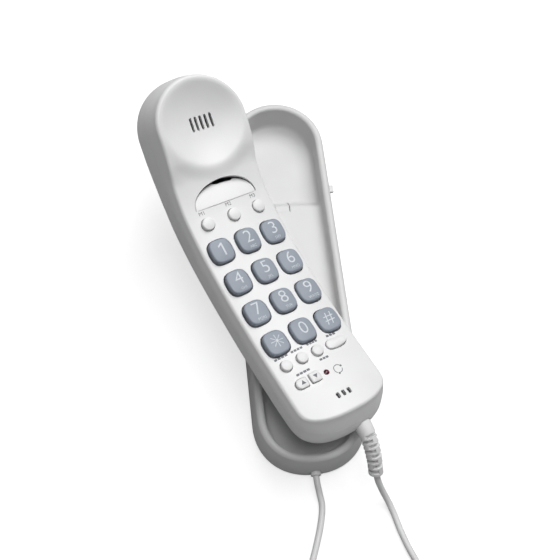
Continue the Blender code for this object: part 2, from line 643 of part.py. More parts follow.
def ringer_switch(cradle, shell):
    """The ringer volume slide in the right wall: a knob in a slot."""
    wall_x = CR_W / 2 + CR_FLARE * 0.4
    slot = (12.0, KNOB_L + 2 * RINGER_TRAVEL + 1.0, 2.6)
    cut(shell, box("ringer_slot", slot, (wall_x, RINGER_Y, RINGER_Z), "shell", cradle, CUTTERS))
    at = (wall_x + 0.2, RINGER_Y, RINGER_Z)
    knob = box("ringer_switch_knob", (4.4, KNOB_L, 1.9), at, "shell", cradle)
    edge = knob.modifiers.new("edge", "BEVEL")
    edge.width = 0.3 * MM
    edge.segments = 1


def grommets(cradle, shell, plate):
    """Rubber bushes: where the handset's cord goes in, and where the line cord would."""
    wall_y = -CR_L / 2 - CR_FLARE + 1.2
    cord_at, outwards = (0.0, wall_y, CORD_HOLE_Z), (math.pi / 2, 0.0, 0.0)
    cut(shell, drum("cord_hole", 3.2, 16.0, cord_at, "shell", cradle, CUTTERS, 16, outwards))
    bush = ((2.9, 2.4), (2.9, -2.4), (1.1, -2.4), (1.1, 2.4))
    turned("foot_grommet", bush, cord_at, "rubber", cradle, outwards, 16, True)
    line_at = (0.0, 96.0, sum(PLATE_Z) / 2)
    cut(plate, drum("line_hole", 3.2, 6.0, line_at, "shell", cradle, CUTTERS, 16))
    low_bush = [(r, z * 0.35) for r, z in bush]
    turned("line_cord_grommet", low_bush, line_at, "rubber", cradle, None, 16, True)


# ================================================================ cord
def smooth_route(points, spacing):
    """Points about a spacing apart on a smooth curve through a route's own points."""
    route = [Vector(p) for p in points]
    ends = [route[0] * 2 - route[1]] + route + [route[-1] * 2 - route[-2]]
    fine = []
    for i in range(1, len(ends) - 2):
        before, a, b, after = ends[i - 1:i + 3]
        for k in range(12):
            t = k / 12
            fine.append(0.5 * ((2 * a) + (b - before) * t + (2 * before - 5 * a + 4 * b - after) * t * t
                               + (3 * a - before - 3 * b + after) * t ** 3))
    fine.append(route[-1])
    length = sum((b - a).length for a, b in zip(fine[:-1], fine[1:]))
    count = max(3, round(length / spacing))
    kept, walked, wanted = [fine[0]], 0.0, length / count
    for a, b in zip(fine[:-1], fine[1:]):
        walked += (b - a).length
        if walked >= wanted * len(kept) and len(kept) < count:
            kept.append(b)
    return kept + [fine[-1]]


def tube(name, points, diameter, spacing):
    """A plain round cord along a smooth route given from the cradle's centre."""
    curve = bpy.data.curves.new(name, "CURVE")
    curve.dimensions = "3D"
    curve.bevel_depth = diameter / 2 * MM
    curve.bevel_resolution = 2
    curve.use_fill_caps = True
    line = curve.splines.new("POLY")
    kept = smooth_route(points, spacing)
    line.points.add(len(kept) - 1)
    for point, place in zip(line.points, kept):
        point.co = (*((place + Vector(CRADLE_AT)) * MM), 1.0)
    return keep(bpy.data.objects.new(name, curve), "cord")


def curl_route():
    """A hairpin on the table beyond the foot end, from the handset's tail round to the cradle's."""
    z = CURL_D / 2 + 0.1
    low = CURL_TOP - CURL_LEG
    radius = (CURL_RIGHT - CURL_LEFT) / 2
    middle = (CURL_RIGHT + CURL_LEFT) / 2
    route = [(CURL_RIGHT, CURL_TOP - CURL_LEG * i / 3, z) for i in range(3)]
    route += [(middle + radius * math.cos(a), low - radius * math.sin(a), z)
              for a in (math.pi * i / 8 for i in range(9))]
    return route + [(CURL_LEFT, low + CURL_LEG * i / 3, z) for i in range(1, 4)]


def cords():
    """The curly handset cord: its two straight tails and the curl, which is one fat tube here."""
    end, before = Vector(BOOT_END), Vector(BOOT_BEND)
    start = end + (end - before).normalized() * GAP
    joint_z = CURL_D / 2 - 2.0
    top = CURL_TOP + 1.0
    tube("handset_cord_tail", [start, *HANDSET_TAIL, (CURL_RIGHT, top, joint_z)], CORD_D, 8.0)
    tube("handset_cord_curl", curl_route(), CURL_D, 22.0)
    first = (0.0, -CR_L / 2 - CR_FLARE + 1.2 - 2.4 - 1.5 * GAP, CORD_HOLE_Z)
    tube("cradle_cord_tail", [first, *CRADLE_TAIL, (CURL_LEFT, top, joint_z)], CORD_D, 8.0)


# ================================================================ the whole telephone
def main():
    """Build the handset, the cradle and the cord between them."""
    handset = bpy.data.objects.new("handset_frame", None)
    cradle = bpy.data.objects.new("cradle_frame", None)
    for frame in (handset, cradle):
        PARTS.objects.link(frame)
    handset.matrix_world = handset_matrix()
    cradle.location = Vector(CRADLE_AT) * MM
    front = handset_front(handset)
    back = handset_back(handset)
    keypad(handset, front)
    face_slots(handset, front)
    hang_slot(handset, front)
    lamp_hole(handset, front)
    handset_inside(handset)
    strain_relief(handset, (front, back))
    cradle_pieces(cradle)
    cords()
    bpy.context.view_layer.update()


main()
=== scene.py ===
"""Looks of a slimline corded telephone: a keypad handset lying across its wall cradle.

Handset pieces are worked out in the handset's own places: x across, s along the face and
t above the face, in millimetres. bend() turns them into points of the handset's frame, and
in_frame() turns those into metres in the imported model's frame.
"""
import math

import bmesh
import bpy
import numpy as np
from bpy.props import FloatProperty, FloatVectorProperty, IntProperty, PointerProperty
from mathutils import Matrix, Vector


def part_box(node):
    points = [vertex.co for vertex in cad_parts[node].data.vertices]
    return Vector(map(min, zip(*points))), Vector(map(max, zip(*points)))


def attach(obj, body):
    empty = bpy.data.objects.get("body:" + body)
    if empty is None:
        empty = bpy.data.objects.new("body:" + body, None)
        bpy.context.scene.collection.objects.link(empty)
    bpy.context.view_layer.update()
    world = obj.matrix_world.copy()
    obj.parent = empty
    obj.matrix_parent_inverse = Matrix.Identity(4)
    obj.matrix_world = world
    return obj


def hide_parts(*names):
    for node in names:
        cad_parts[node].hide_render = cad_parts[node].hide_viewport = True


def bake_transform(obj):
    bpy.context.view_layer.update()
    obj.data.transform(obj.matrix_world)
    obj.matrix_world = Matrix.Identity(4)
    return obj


bl_info = {
    "name": "Slimline wall phone",
    "version": (1, 0, 0),
    "blender": (4, 5, 0),
    "location": "3D View > Sidebar > Wall Phone",
    "description": "Builds the visible surfaces of a slimline corded telephone round its packed frame",
    "category": "Object",
}

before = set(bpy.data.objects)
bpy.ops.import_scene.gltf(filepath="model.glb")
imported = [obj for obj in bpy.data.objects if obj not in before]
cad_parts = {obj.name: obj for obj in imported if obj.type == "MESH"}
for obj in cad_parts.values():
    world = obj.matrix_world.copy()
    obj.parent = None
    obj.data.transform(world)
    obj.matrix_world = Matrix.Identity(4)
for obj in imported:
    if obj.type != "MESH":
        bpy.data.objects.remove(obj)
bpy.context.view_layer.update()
MM = 0.001

# ---------------------------------------------------------------- places (mm, degrees)
CRADLE_AT = np.array((21.23, 4.32, 0.0))
HANDSET_AT = np.array((-14.72, -24.07, 54.16))
HANDSET_TURN = (3.27, 13.51, 24.28)

# ---------------------------------------------------------------- handset (mm)
S_MOUTH, S_EAR, EAR_R = -88.5, 101.0, 28.0
BODY_HALF, MOUTH_CAP, PARTING, WALL = 27.5, 20.0, -11.0, 2.0
CROWN, DISH_R, DISH_DEPTH, COLLAR_RISE, DISH_X = 0.008, 24.7, 6.0, 1.5, 0.6
BEND_S = (-100.0, -60.0, -30.0, 0.0, 30.0, 48.0, 62.0, 76.0, 135.0)
BEND_DEG = (-7.0, -7.0, -4.5, 0.0, 6.0, 12.0, 22.0, 28.0, 28.0)
DEPTH_S = (-89.0, -60.0, 0.0, 50.0, 90.0, 128.0)
DEPTH_T = (27.0, 30.0, 31.0, 34.0, 36.0, 34.0)
COL_PITCH, ROW_PITCH, ROW_MIDDLE = 17.0, 20.3, -1.8
NUMBER_NAMES = (("1", "2", "3"), ("4", "5", "6"), ("7", "8", "9"), ("star", "0", "hash"))
NUMERAL_H, NUMBER_POINTS, KEY_POWER = 7.8, 72, 3.1
LETTERS = {"2": "ABC", "3": "DEF", "4": "GHI", "5": "JKL", "6": "MNO", "7": "PQRS", "8": "TUV",
           "9": "WXYZ"}
KEY_ROOT = -3.4
MEMORY_S, MEMORY_PITCH, ROUND_R = 45.8, 16.6, 3.7
FUNCTION_S, FUNCTION_X, FUNCTION_PITCH, FUNCTION_R = -46.0, -18.7, 9.8, 3.2
OBLONG_X, OBLONG_W, OBLONG_L = 13.6, 13.0, 6.6
VOLUME_S, VOLUME_X, VOLUME_PITCH, VOLUME_W, VOLUME_L = -58.6, -17.0, 8.3, 7.0, 5.8
LAMP_X, LAMP_S, LAMP_R = -1.6, -59.0, 1.5
SLOTS_X, SLOT_PITCH, SLOT_W, SLOT_L, SLOT_COUNT = 3.4, 3.1, 1.6, 8.2, 5
MIC_S, MIC_PITCH, MIC_W, MIC_L = -73.2, 3.5, 2.1, 3.3
HANG_S, HANG_HALF, HANG_RISE = 55.0, 19.8, 13.2
LEAN, LEAN_DEPTH = 4.6, 20.0                # how far the mouth's end wall leans in, over what depth
EAR_SHIFT, EAR_DROP, SHIFT_DEPTH = 2.0, 1.2, 28.0   # how the ear's face sits over the head below it
EDGE_R, SWELL = 1.8, 1.1                    # the face's rounded edge, and how far the flanks swell
SPINE = 1000.0                              # an inset that draws any ring in to its spine
NUMBER_EDGE, NUMBER_DOME, SMALL_EDGE, SMALL_DOME = 1.15, 0.45, 0.8, 0.35
MEMORY_STAND, FUNCTION_STAND, OBLONG_STAND, VOLUME_STAND = 1.9, 1.8, 1.6, 1.3
RING_X, RING_S, RING_R, RING_LINE = 5.3, -60.0, 2.6, 0.4
DASH_H, LETTER_H, LETTER_S = 1.25, 1.6, -4.6
SEAM, HOLE_SPAN, SLOT_SPAN = 0.1, (-8.0, 4.0), (-4.0, 4.0)     # below the parting; heights of the cutters

# ---------------------------------------------------------------- cradle (mm)
CR_W, CR_L, CR_H = 60.0, 236.0, 23.0
CR_EAR_CAP, CR_FOOT_CAP, CR_FLARE = 32.0, 29.0, 2.8
BOTTOM, RECESS_Z, DECK_Z, CUP_Z = 1.5, 5.4, 12.0, 9.0
RIDGE_Y, RIDGE_RUN, RIDGE_BOW, CUP_Y, CUP_RUN, FLOOR_T = 47.0, 6.0, 3.5, -62.0, 10.0, 1.8
RIM_HALF, RIM_H, COVE_INSET, COVE_R, WALL_INSET = 2.3, 1.7, 8.2, 3.0, 5.2
HOOK_AT = (0.0, 6.0)
TAB_Y, HANG_TAB_W, HANG_TAB_L = RIDGE_Y + 1.0, 8.8, 10.0
RINGER_Y, RINGER_Z, RINGER_TRAVEL, KNOB_L = 56.0, 13.0, 3.0, 5.0
CORD_HOLE_Z = 5.3

# ---------------------------------------------------------------- cord (mm, from the cradle's centre)
CORD_D, CORD_LENGTH, TURN_R, LEAD = 3.6, 1630.0, 3.95, 14.0
BOOT_X, BOOT_T, BOOT_GAPS, BOOT_TWIST = 8.0, -18.5, 8, 0.3
BOOT_OUTER, BOOT_TAPER, BOOT_CORE, CORE_TAPER = 4.8, 0.7, 1.95, 0.1
BOOT_COLLAR, BOOT_LIP, BOOT_SIDES = 0.2, 0.97, 64
BOOT_BEND = (30.4, -115.0, 35.5)
BOOT_END = (31.4, -126.6, 20.0)
HANDSET_TAIL = ((33.0, -131.0, 14.2), (35.4, -135.2, 8.6), (38.2, -140.2, 4.2), (40.6, -147.0, 2.2),
                (42.6, -155.5, 1.85), (45.6, -165.5, 1.85), (49.6, -175.5, 1.85), (53.0, -184.0, 2.6))
CRADLE_TAIL = ((0.2, -126.0, 4.9), (0.9, -131.5, 2.7), (1.5, -138.5, 1.85), (-0.4, -147.5, 1.85),
               (-4.0, -158.0, 1.85), (-8.4, -169.0, 1.85), (-12.4, -179.0, 2.4))
CURL_TOP, CURL_LEFT, CURL_RIGHT, CURL_LEG, CURL_Z = -191.0, -15.0, 55.0, 60.0, 5.85

# ---------------------------------------------------------------- stage
LENS_MM, SENSOR_MM = 56.244, 36.0
CAMERA_TURN = (-9.2172, 65.5557, 3.0711)    # azimuth, elevation and roll in degrees
CAMERA_AIM, CAMERA_BACK = (-7.3435, -4.713, 15.0), 0.528254     # mm from the cradle's centre, metres
PAPER, PAPER_GLOW, WORLD_LIGHT = 0.52, 0.66, 0.10
LIGHT_AIM = (0.02, 0.0, 0.03)
LIGHTS = (("key", (0.55, 0.75, 1.45), 1.3, 22.0), ("fill", (0.1, -0.1, 1.8), 0.9, 10.0))
WHITE = (1.0, 1.0, 1.0, 1.0)


# ================================================================ properties
def length_prop(name, description, default):
    """A length property, its default in millimetres."""
    return FloatProperty(name=name, description=description, default=default * MM, unit="LENGTH",
                         subtype="DISTANCE")


def colour_prop(name, description, *default):
    """A colour property."""
    return FloatVectorProperty(name=name, description=description, default=default, subtype="COLOR",
                               min=0.0, max=1.0)


class PhoneSizes(bpy.types.PropertyGroup):
    """Sizes that a user of the telephone would change."""
    key_width: length_prop("Key width", "Width of a number key", 13.2)
    key_length: length_prop("Key length", "Length of a number key", 14.2)
    key_stand: length_prop("Key stand", "Height of a number key above the face", 2.5)
    key_gap: length_prop("Key gap", "Clearance between a key and its hole", 0.7)
    cord_sides: IntProperty(name="Cord sides", description="Sides of the round cord", default=12, min=6)
    grain: length_prop("Grain size", "Size of the moulded grain of the shells", 0.5)


class PhoneColours(bpy.types.PropertyGroup):
    """Colours of the telephone's finishes."""
    shell: colour_prop("Shell", "White moulded plastic of both shells", 0.80, 0.80, 0.80)
    # The cradle is the same white plastic as the shells; its colour is the shell white darkened as painted
    # shade.
    cradle: colour_prop("Cradle", "Slightly greyer moulded plastic of the cradle", 0.66, 0.66, 0.66)
    key: colour_prop("Number keys", "Blue-grey plastic of the number keys", 0.28, 0.315, 0.37)
    ink: colour_prop("Ink", "Grey printing on the face", 0.16, 0.17, 0.19)
    numeral: colour_prop("Numerals", "Pale printing on the number keys", 0.66, 0.70, 0.74)
    lamp: colour_prop("Lamp", "Dark red lens of the in-use lamp", 0.13, 0.01, 0.03)
    cord: colour_prop("Cord", "Off-white sheath of the cord", 0.76, 0.76, 0.76)


def sizes():
    """The size properties."""
    return bpy.context.scene.phone_sizes


def colours():
    """The colour properties."""
    return bpy.context.scene.phone_colours


# ================================================================ materials
def shader_of(name, colour, roughness, metallic=0.0):
    """A new material and its Principled shader, with constants set on the shader's sockets."""
    made = bpy.data.materials.new(name)
    made.use_nodes = True
    shader = made.node_tree.nodes["Principled BSDF"]
    shader.inputs["Base Color"].default_value = (*colour, 1.0)
    shader.inputs["Roughness"].default_value = roughness
    shader.inputs["Metallic"].default_value = metallic
    return made, shader


def node(tree, kind, **values):
    """A new shader node, each value set on the input socket of that name."""
    made = tree.nodes.new("ShaderNode" + kind)
    for name, value in values.items():
        made.inputs[name.replace("_", " ")].default_value = value
    return made


def noise(tree, size, detail=3.0, stretch=(1.0, 1.0, 1.0)):
    """A noise texture on Object coordinates whose features are about size metres long."""
    where = node(tree, "TexCoord")
    mapping = node(tree, "Mapping", Scale=stretch)
    texture = node(tree, "TexNoise", Scale=1.0 / size, Detail=detail)
    tree.links.new(where.outputs["Object"], mapping.inputs["Vector"])
    tree.links.new(mapping.outputs["Vector"], texture.inputs["Vector"])
    return texture


def tinted(tree, shader, source, low, high):
    """Base colour between low and high, following the middle of a factor's range."""
    made = node(tree, "ValToRGB")
    for element, stop, colour in zip(made.color_ramp.elements, (0.35, 0.65), (low, high)):
        element.position = stop
        element.color = (*colour, 1.0)
    tree.links.new(source, made.inputs["Fac"])
    tree.links.new(made.outputs["Color"], shader.inputs["Base Color"])


def dimmed(colour, share):
    """A colour times a share."""
    return tuple(c * share for c in colour)


def roughened(tree, shader, source, low, high):
    """Roughness between low and high, following a factor."""
    spread = node(tree, "MapRange", To_Min=low, To_Max=high)
    tree.links.new(source, spread.inputs["Value"])
    tree.links.new(spread.outputs["Result"], shader.inputs["Roughness"])


def bumped(tree, shader, source, height, strength=1.0):
    """Bump of a height in metres, following a factor."""
    bump = node(tree, "Bump", Strength=strength, Distance=height)
    tree.links.new(source, bump.inputs["Height"])
    tree.links.new(bump.outputs["Normal"], shader.inputs["Normal"])


def moulded(name, colour, roughness, grain=None, mottle=0.03):
    """Moulded plastic: a faint mottle in colour, smudges in gloss and a fine grain in height."""
    made, shader = shader_of(name, colour, roughness)
    tree = made.node_tree
    shade = noise(tree, 35 * MM, 2.0)
    high = tuple(min(1.0, c * (1.0 + mottle * 0.5)) for c in colour)
    tinted(tree, shader, shade.outputs["Fac"], dimmed(colour, 1.0 - mottle), high)
    smudge = noise(tree, 9 * MM, 5.0)
    roughened(tree, shader, smudge.outputs["Fac"], roughness - 0.07, roughness + 0.09)
    fine = noise(tree, grain or sizes().grain, 2.0)
    bumped(tree, shader, fine.outputs["Fac"], 0.02 * MM, 0.35)
    return made


def printed(name, colour):
    """Screen ink: slightly uneven in density, with a satin surface."""
    made, shader = shader_of(name, colour, 0.5)
    tree = made.node_tree
    density = noise(tree, 0.8 * MM, 3.0)
    tinted(tree, shader, density.outputs["Fac"], dimmed(colour, 0.85), colour)
    roughened(tree, shader, density.outputs["Fac"], 0.42, 0.6)
    return made


def brushed(name, colour):
    """Bright metal with fine drawing lines."""
    made, shader = shader_of(name, colour, 0.3, 1.0)
    tree = made.node_tree
    lines = noise(tree, 1.2 * MM, 4.0, (1.0, 12.0, 1.0))
    tinted(tree, shader, lines.outputs["Fac"], dimmed(colour, 0.8), colour)
    roughened(tree, shader, lines.outputs["Fac"], 0.22, 0.45)
    bumped(tree, shader, lines.outputs["Fac"], 0.03 * MM, 0.4)
    return made


def board_finish(name):
    """Green solder mask with brick-like copper tracks under it."""
    made, shader = shader_of(name, (0.02, 0.16, 0.07), 0.35)
    tree = made.node_tree
    where = node(tree, "TexCoord")
    tracks = node(tree, "TexBrick", Scale=180.0, Mortar_Size=0.03, Color1=(0.015, 0.14, 0.06, 1.0),
                  Color2=(0.02, 0.19, 0.08, 1.0), Mortar=(0.10, 0.28, 0.10, 1.0))
    tree.links.new(where.outputs["Object"], tracks.inputs["Vector"])
    tree.links.new(tracks.outputs["Color"], shader.inputs["Base Color"])
    bumped(tree, shader, tracks.outputs["Fac"], 0.03 * MM, 0.5)
    return made


def lens_finish(name, colour):
    """Dark glossy lens, uneven in depth of colour."""
    made, shader = shader_of(name, colour, 0.15)
    shader.inputs["Coat Weight"].default_value = 0.6
    tree = made.node_tree
    depth = noise(tree, 2.0 * MM, 1.0)
    tinted(tree, shader, depth.outputs["Fac"], dimmed(colour, 0.5), colour)
    return made


FINISHES = {
    "handset": lambda: moulded("handset_white", colours().shell, 0.40),
    # The cradle's colour is the shell white darkened as painted shade, also on the back plate, plunger, knob
    # and tab.
    "cradle": lambda: moulded("cradle_white_with_painted_shade", colours().cradle, 0.44, mottle=0.035),
    "key": lambda: moulded("key_blue_grey", colours().key, 0.46, 0.35 * MM, 0.06),
    "small_key": lambda: moulded("small_key_white", colours().shell, 0.38, 0.35 * MM),
    "boot": lambda: moulded("boot_white", colours().shell, 0.5, 0.4 * MM, 0.04),
    "cord": lambda: moulded("cord_sheath", colours().cord, 0.42, 0.3 * MM, 0.04),
    "ink": lambda: printed("face_ink", colours().ink),
    "numeral": lambda: printed("numeral_ink", colours().numeral),
    "lamp": lambda: lens_finish("lamp_lens", colours().lamp),
    "rubber": lambda: moulded("black_rubber", (0.03, 0.03, 0.032), 0.75, 0.3 * MM, 0.15),
    "silicone": lambda: moulded("clear_silicone", (0.52, 0.53, 0.50), 0.55, 0.4 * MM, 0.05),
    "black": lambda: moulded("black_plastic", (0.02, 0.02, 0.022), 0.45, 0.4 * MM, 0.15),
    "steel": lambda: brushed("bright_steel", (0.62, 0.62, 0.64)),
    "board": lambda: board_finish("circuit_board_mask"),
}


def finish(name):
    """The finish's material, made once."""
    made = FINISHES[name]
    if callable(made):
        made = made()
        FINISHES[name] = made
    return made


# ================================================================ numpy surfaces
def link(thing):
    """Put an object in the scene."""
    bpy.context.scene.collection.objects.link(thing)


def as_mesh(name, work):
    """A bmesh as a new mesh; the bmesh is freed."""
    mesh = bpy.data.meshes.new(name)
    work.to_mesh(mesh)
    work.free()
    return mesh


def keep(name, mesh, finish_name, sharp=35.0):
    """An object at the origin for a finished mesh, shaded smooth between its sharp edges."""
    mesh.shade_smooth()
    mesh.set_sharp_from_angle(angle=math.radians(sharp))
    mesh.materials.clear()
    mesh.materials.append(finish(finish_name))
    made = bpy.data.objects.new(name, mesh)
    link(made)
    return made


def place(made, body, slot, *nodes):
    """The piece rides on a body and stands for its CAD nodes, which are hidden; slot is not used."""
    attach(made, body)
    if nodes:
        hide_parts(*nodes)
    return made


def piece(name, mesh, look, body, slot, *nodes, sharp=35.0):
    """A finished mesh kept as an object and put on its body."""
    return place(keep(name, mesh, look, sharp), body, slot, *nodes)


def grid_faces(rows, columns):
    """Quads of a grid whose columns wrap round; vertices are numbered row by row."""
    i, j = np.meshgrid(np.arange(rows - 1), np.arange(columns), indexing="ij")
    here, below, beside = i * columns, (i + 1) * columns, (j + 1) % columns
    return np.stack((here + j, here + beside, below + beside, below + j), axis=-1).reshape(-1, 4)


def skin(name, rings, weld=True, caps=False):
    """A closed mesh from rings of points (rows, columns, 3) in metres.

    Columns wrap round. The end rings either collapse to a point or line and are welded, or are
    filled when caps is set.
    """
    rows, columns = rings.shape[:2]
    faces = grid_faces(rows, columns).tolist()
    if caps:
        faces.append(list(range(columns))[::-1])
        faces.append(list(range((rows - 1) * columns, rows * columns)))
    mesh = bpy.data.meshes.new(name)
    mesh.from_pydata(rings.reshape(-1, 3).tolist(), [], faces)
    work = bmesh.new()
    work.from_mesh(mesh)
    if weld:
        bmesh.ops.remove_doubles(work, verts=work.verts, dist=0.004 * MM)
        bmesh.ops.dissolve_degenerate(work, dist=0.004 * MM, edges=work.edges)
    bmesh.ops.recalc_face_normals(work, faces=work.faces)
    work.to_mesh(mesh)
    work.free()
    return mesh


def joined(name, meshes):
    """One mesh out of several that don't touch."""
    work = bmesh.new()
    for mesh in meshes:
        work.from_mesh(mesh)
        bpy.data.meshes.remove(mesh)
    return as_mesh(name, work)


def carve(mesh, cutter_mesh):
    """The mesh less the cutter's volume."""
    body = bpy.data.objects.new("carved", mesh)
    cutter = bpy.data.objects.new("cutter", cutter_mesh)
    for thing in (body, cutter):
        link(thing)
    step = body.modifiers.new("cut", "BOOLEAN")
    step.operation = "DIFFERENCE"
    step.solver = "EXACT"
    step.object = cutter
    bpy.context.view_layer.update()
    evaluated = body.evaluated_get(bpy.context.evaluated_depsgraph_get())
    result = bpy.data.meshes.new_from_object(evaluated)
    for thing in (body, cutter):
        bpy.data.objects.remove(thing)
    if not result.polygons:
        raise RuntimeError("carving left nothing")
    return result


def smooth_step(a, b, value):
    """0 below a, 1 above b, and a smooth cubic between."""
    share = np.clip((value - a) / (b - a), 0.0, 1.0)
    return share * share * (3.0 - 2.0 * share)


def stadium(half_w, low, high, low_cap, high_cap, low_n, high_n, spacing, cap_points):
    """A long plan with superellipse ends, as arrays x, y and the place on the spine.

    The sides run at half_w(y); each end is |x/w|^n + |y/cap|^n = 1 round its cap's centre.
    """
    spine_low, spine_high = low + low_cap, high - high_cap
    sides = np.linspace(spine_low, spine_high, int((spine_high - spine_low) / spacing) + 1)[1:-1]
    a = np.linspace(0.0, math.pi, cap_points)
    c, s = np.cos(a), np.abs(np.sin(a))

    def cap(n, width, centre, reach):
        x = np.sign(c) * np.abs(c) ** (2 / n) * width
        return x, centre + reach * s ** (2 / n), np.full_like(x, centre)
    top = cap(high_n, half_w(spine_high), spine_high, high_cap)
    foot = cap(low_n, half_w(spine_low), spine_low, -low_cap)
    x = np.concatenate((half_w(sides), top[0], -half_w(sides)[::-1], foot[0][::-1]))
    y = np.concatenate((sides, top[1], sides[::-1], foot[1][::-1]))
    spine = np.concatenate((sides, top[2], sides[::-1], foot[2][::-1]))
    return x, y, spine


def inset_ring(plan, inset):
    """The plan drawn in by a distance towards its spine."""
    x, y, spine = plan
    reach = np.hypot(x, y - spine)
    share = np.clip(1.0 - inset / reach, 0.0, None)
    return x * share, spine + (y - spine) * share


def squircle(width, length, power, count=64):
    """The plan |x/w|^n + |y/l|^n = 1 as an array of points (count, 2)."""
    a = np.linspace(0.0, math.tau, count, endpoint=False)
    c, s = np.cos(a), np.sin(a)
    x = np.sign(c) * np.abs(c) ** (2 / power) * width / 2
    y = np.sign(s) * np.abs(s) ** (2 / power) * length / 2
    return np.stack((x, y), axis=1)


def prism(name, plan, low, high, place_points):
    """A straight prism on a plan between two heights, put in place by a function of x, y, z."""
    rings = np.empty((2, len(plan), 3))
    rings[:, :, :2] = plan
    rings[0, :, 2], rings[1, :, 2] = low, high
    return skin(name, place_points(rings), weld=False, caps=True)


# ================================================================ handset places
def face_line():
    """The face's centre line: arrays of s, slope angle, y and z.

    The slope runs straight between the bend stations, is averaged over 10 mm, and is summed
    along s to give y and z, with s = 0 at the origin.
    """
    step, spread = 0.5, 10
    s = np.arange(-110.0, 140.0 + step / 2, step)
    angle = np.interp(s, BEND_S, np.radians(BEND_DEG))
    kernel = np.ones(2 * spread + 1) / (2 * spread + 1)
    angle = np.convolve(np.pad(angle, spread, mode="edge"), kernel, "valid")
    y = np.cumsum(np.cos(angle) * step)
    z = np.cumsum(np.sin(angle) * step)
    middle = int(np.argmin(np.abs(s)))
    return s, angle, y - y[middle], z - z[middle]


LINE = face_line()


def slope(s):
    """The face's slope angle at s."""
    return np.interp(s, LINE[0], LINE[1])


def bend(x, s, t):
    """Points x across, s along the face and t above its centre line, in the handset's frame."""
    x, s, t = np.broadcast_arrays(np.asarray(x, float), s, t)
    angle, y, z = (np.interp(s, LINE[0], row) for row in LINE[1:])
    return np.stack((x, y - np.sin(angle) * t, z + np.cos(angle) * t), axis=-1)


def face_t(x, s):
    """Height of the face above its centre line.

    It is crowned across, rises to a collar round the ear, and dips in a paraboloid bowl whose
    rim is the smooth minimum of the bowl and the collar.
    """
    reach = np.hypot(x - DISH_X, s - S_EAR)
    crown = -CROWN / 2 * x * x * (1.0 - smooth_step(70.0, 84.0, s))
    collar = COLLAR_RISE * (1.0 - smooth_step(DISH_R, DISH_R + 9.0, reach))
    bowl = DISH_DEPTH * ((reach / DISH_R) ** 2 - 1.0)
    rim = 0.7
    return crown + collar + 0.5 * (bowl - np.sqrt(bowl * bowl + rim * rim))


def body_depth(s):
    """How far the back of the handset lies below the face line."""
    return np.interp(s, DEPTH_S, DEPTH_T)


def handset_matrix():
    """The handset's place and turn in the frame, metres."""
    turn = Matrix.Identity(4)
    for degrees, axis in zip(reversed(HANDSET_TURN), "ZYX"):
        turn = turn @ Matrix.Rotation(math.radians(degrees), 4, axis)
    return Matrix.Translation(Vector((CRADLE_AT + HANDSET_AT) * MM)) @ turn


HANDSET = np.array(handset_matrix())


def in_frame(points):
    """Points of the handset's frame (mm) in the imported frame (metres)."""
    return points * MM @ HANDSET[:3, :3].T + HANDSET[:3, 3]


def on_cradle(points):
    """Points from the cradle's centre (mm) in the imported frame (metres)."""
    return (np.asarray(points, float) + CRADLE_AT) * MM


def from_cradle(point):
    """A point from the cradle's centre, in the handset's frame (mm)."""
    return (on_cradle(point) - HANDSET[:3, 3]) @ HANDSET[:3, :3] / MM


def standing(x, s, t=0.0):
    """A function that stands local points (mm) on the face at x, s, square to the face there."""
    origin, angle = bend(x, s, t), slope(s)
    turn = np.array(((1.0, 0.0, 0.0), (0.0, math.cos(angle), -math.sin(angle)),
                     (0.0, math.sin(angle), math.cos(angle))))
    return lambda points: in_frame(points @ turn.T + origin)


# ================================================================ handset shells
def handset_plan():
    """The handset's plan in x and s."""
    def half_w(s):
        return BODY_HALF + (EAR_R - BODY_HALF) * smooth_step(60.0, 90.0, s)
    return stadium(half_w, S_MOUTH, S_EAR + EAR_R, MOUTH_CAP, EAR_R, 2.6, 2.0, 1.35, 73)


def plan_ring(plan, inset, height):
    """A ring of the handset at an inset, lifted to a height function and bent onto the body.

    Round the mouth end the ring leans in: s moves up the face by LEAN, less and less with depth.
    At the ear the ring moves across by EAR_SHIFT and back by EAR_DROP, again fading with depth.
    """
    x, s = inset_ring(plan, inset)
    t = height(x, s)
    lean = LEAN * smooth_step(S_MOUTH + MOUTH_CAP, S_MOUTH, s) * smooth_step(-LEAN_DEPTH, 0.0, t)
    near_face = smooth_step(-SHIFT_DEPTH, 0.0, t)
    across = EAR_SHIFT * smooth_step(50.0, 95.0, s) * near_face
    drop = EAR_DROP * smooth_step(90.0, S_EAR + EAR_R, s) * near_face
    return bend(x + across, s + lean - drop, t)


def front_rings():
    """Rings of the front shell, from the spine of its face round the edge and back inside."""
    plan = handset_plan()
    flat = np.concatenate(((SPINE,), np.arange(26.0, 6.0, -1.4), np.arange(6.0, EDGE_R, -0.55)))
    turn = np.radians(np.linspace(0.0, 90.0, 8))
    rings = [plan_ring(plan, inset, face_t) for inset in flat]
    rings += [plan_ring(plan, EDGE_R * (1.0 - math.sin(a)),
                        lambda x, s, a=a: face_t(x, s) - EDGE_R * (1.0 - math.cos(a))) for a in turn]
    rings += [plan_ring(plan, -SWELL * math.sin(v * math.pi / 2),
                        lambda x, s, v=v: (face_t(x, s) - EDGE_R) * (1.0 - v) + PARTING * v)
              for v in np.linspace(0.2, 1.0, 5)]
    rings += [plan_ring(plan, WALL, lambda x, s: PARTING + 0.0 * x),
              plan_ring(plan, WALL + 0.6, lambda x, s: np.minimum(PARTING + 4.0, face_t(x, s) - 3.4))]
    rings += [plan_ring(plan, inset, lambda x, s: face_t(x, s) - WALL)
              for inset in (4.5, 7.0, 10.0, 14.0, 18.0, 22.0, SPINE)]
    return np.stack(rings)


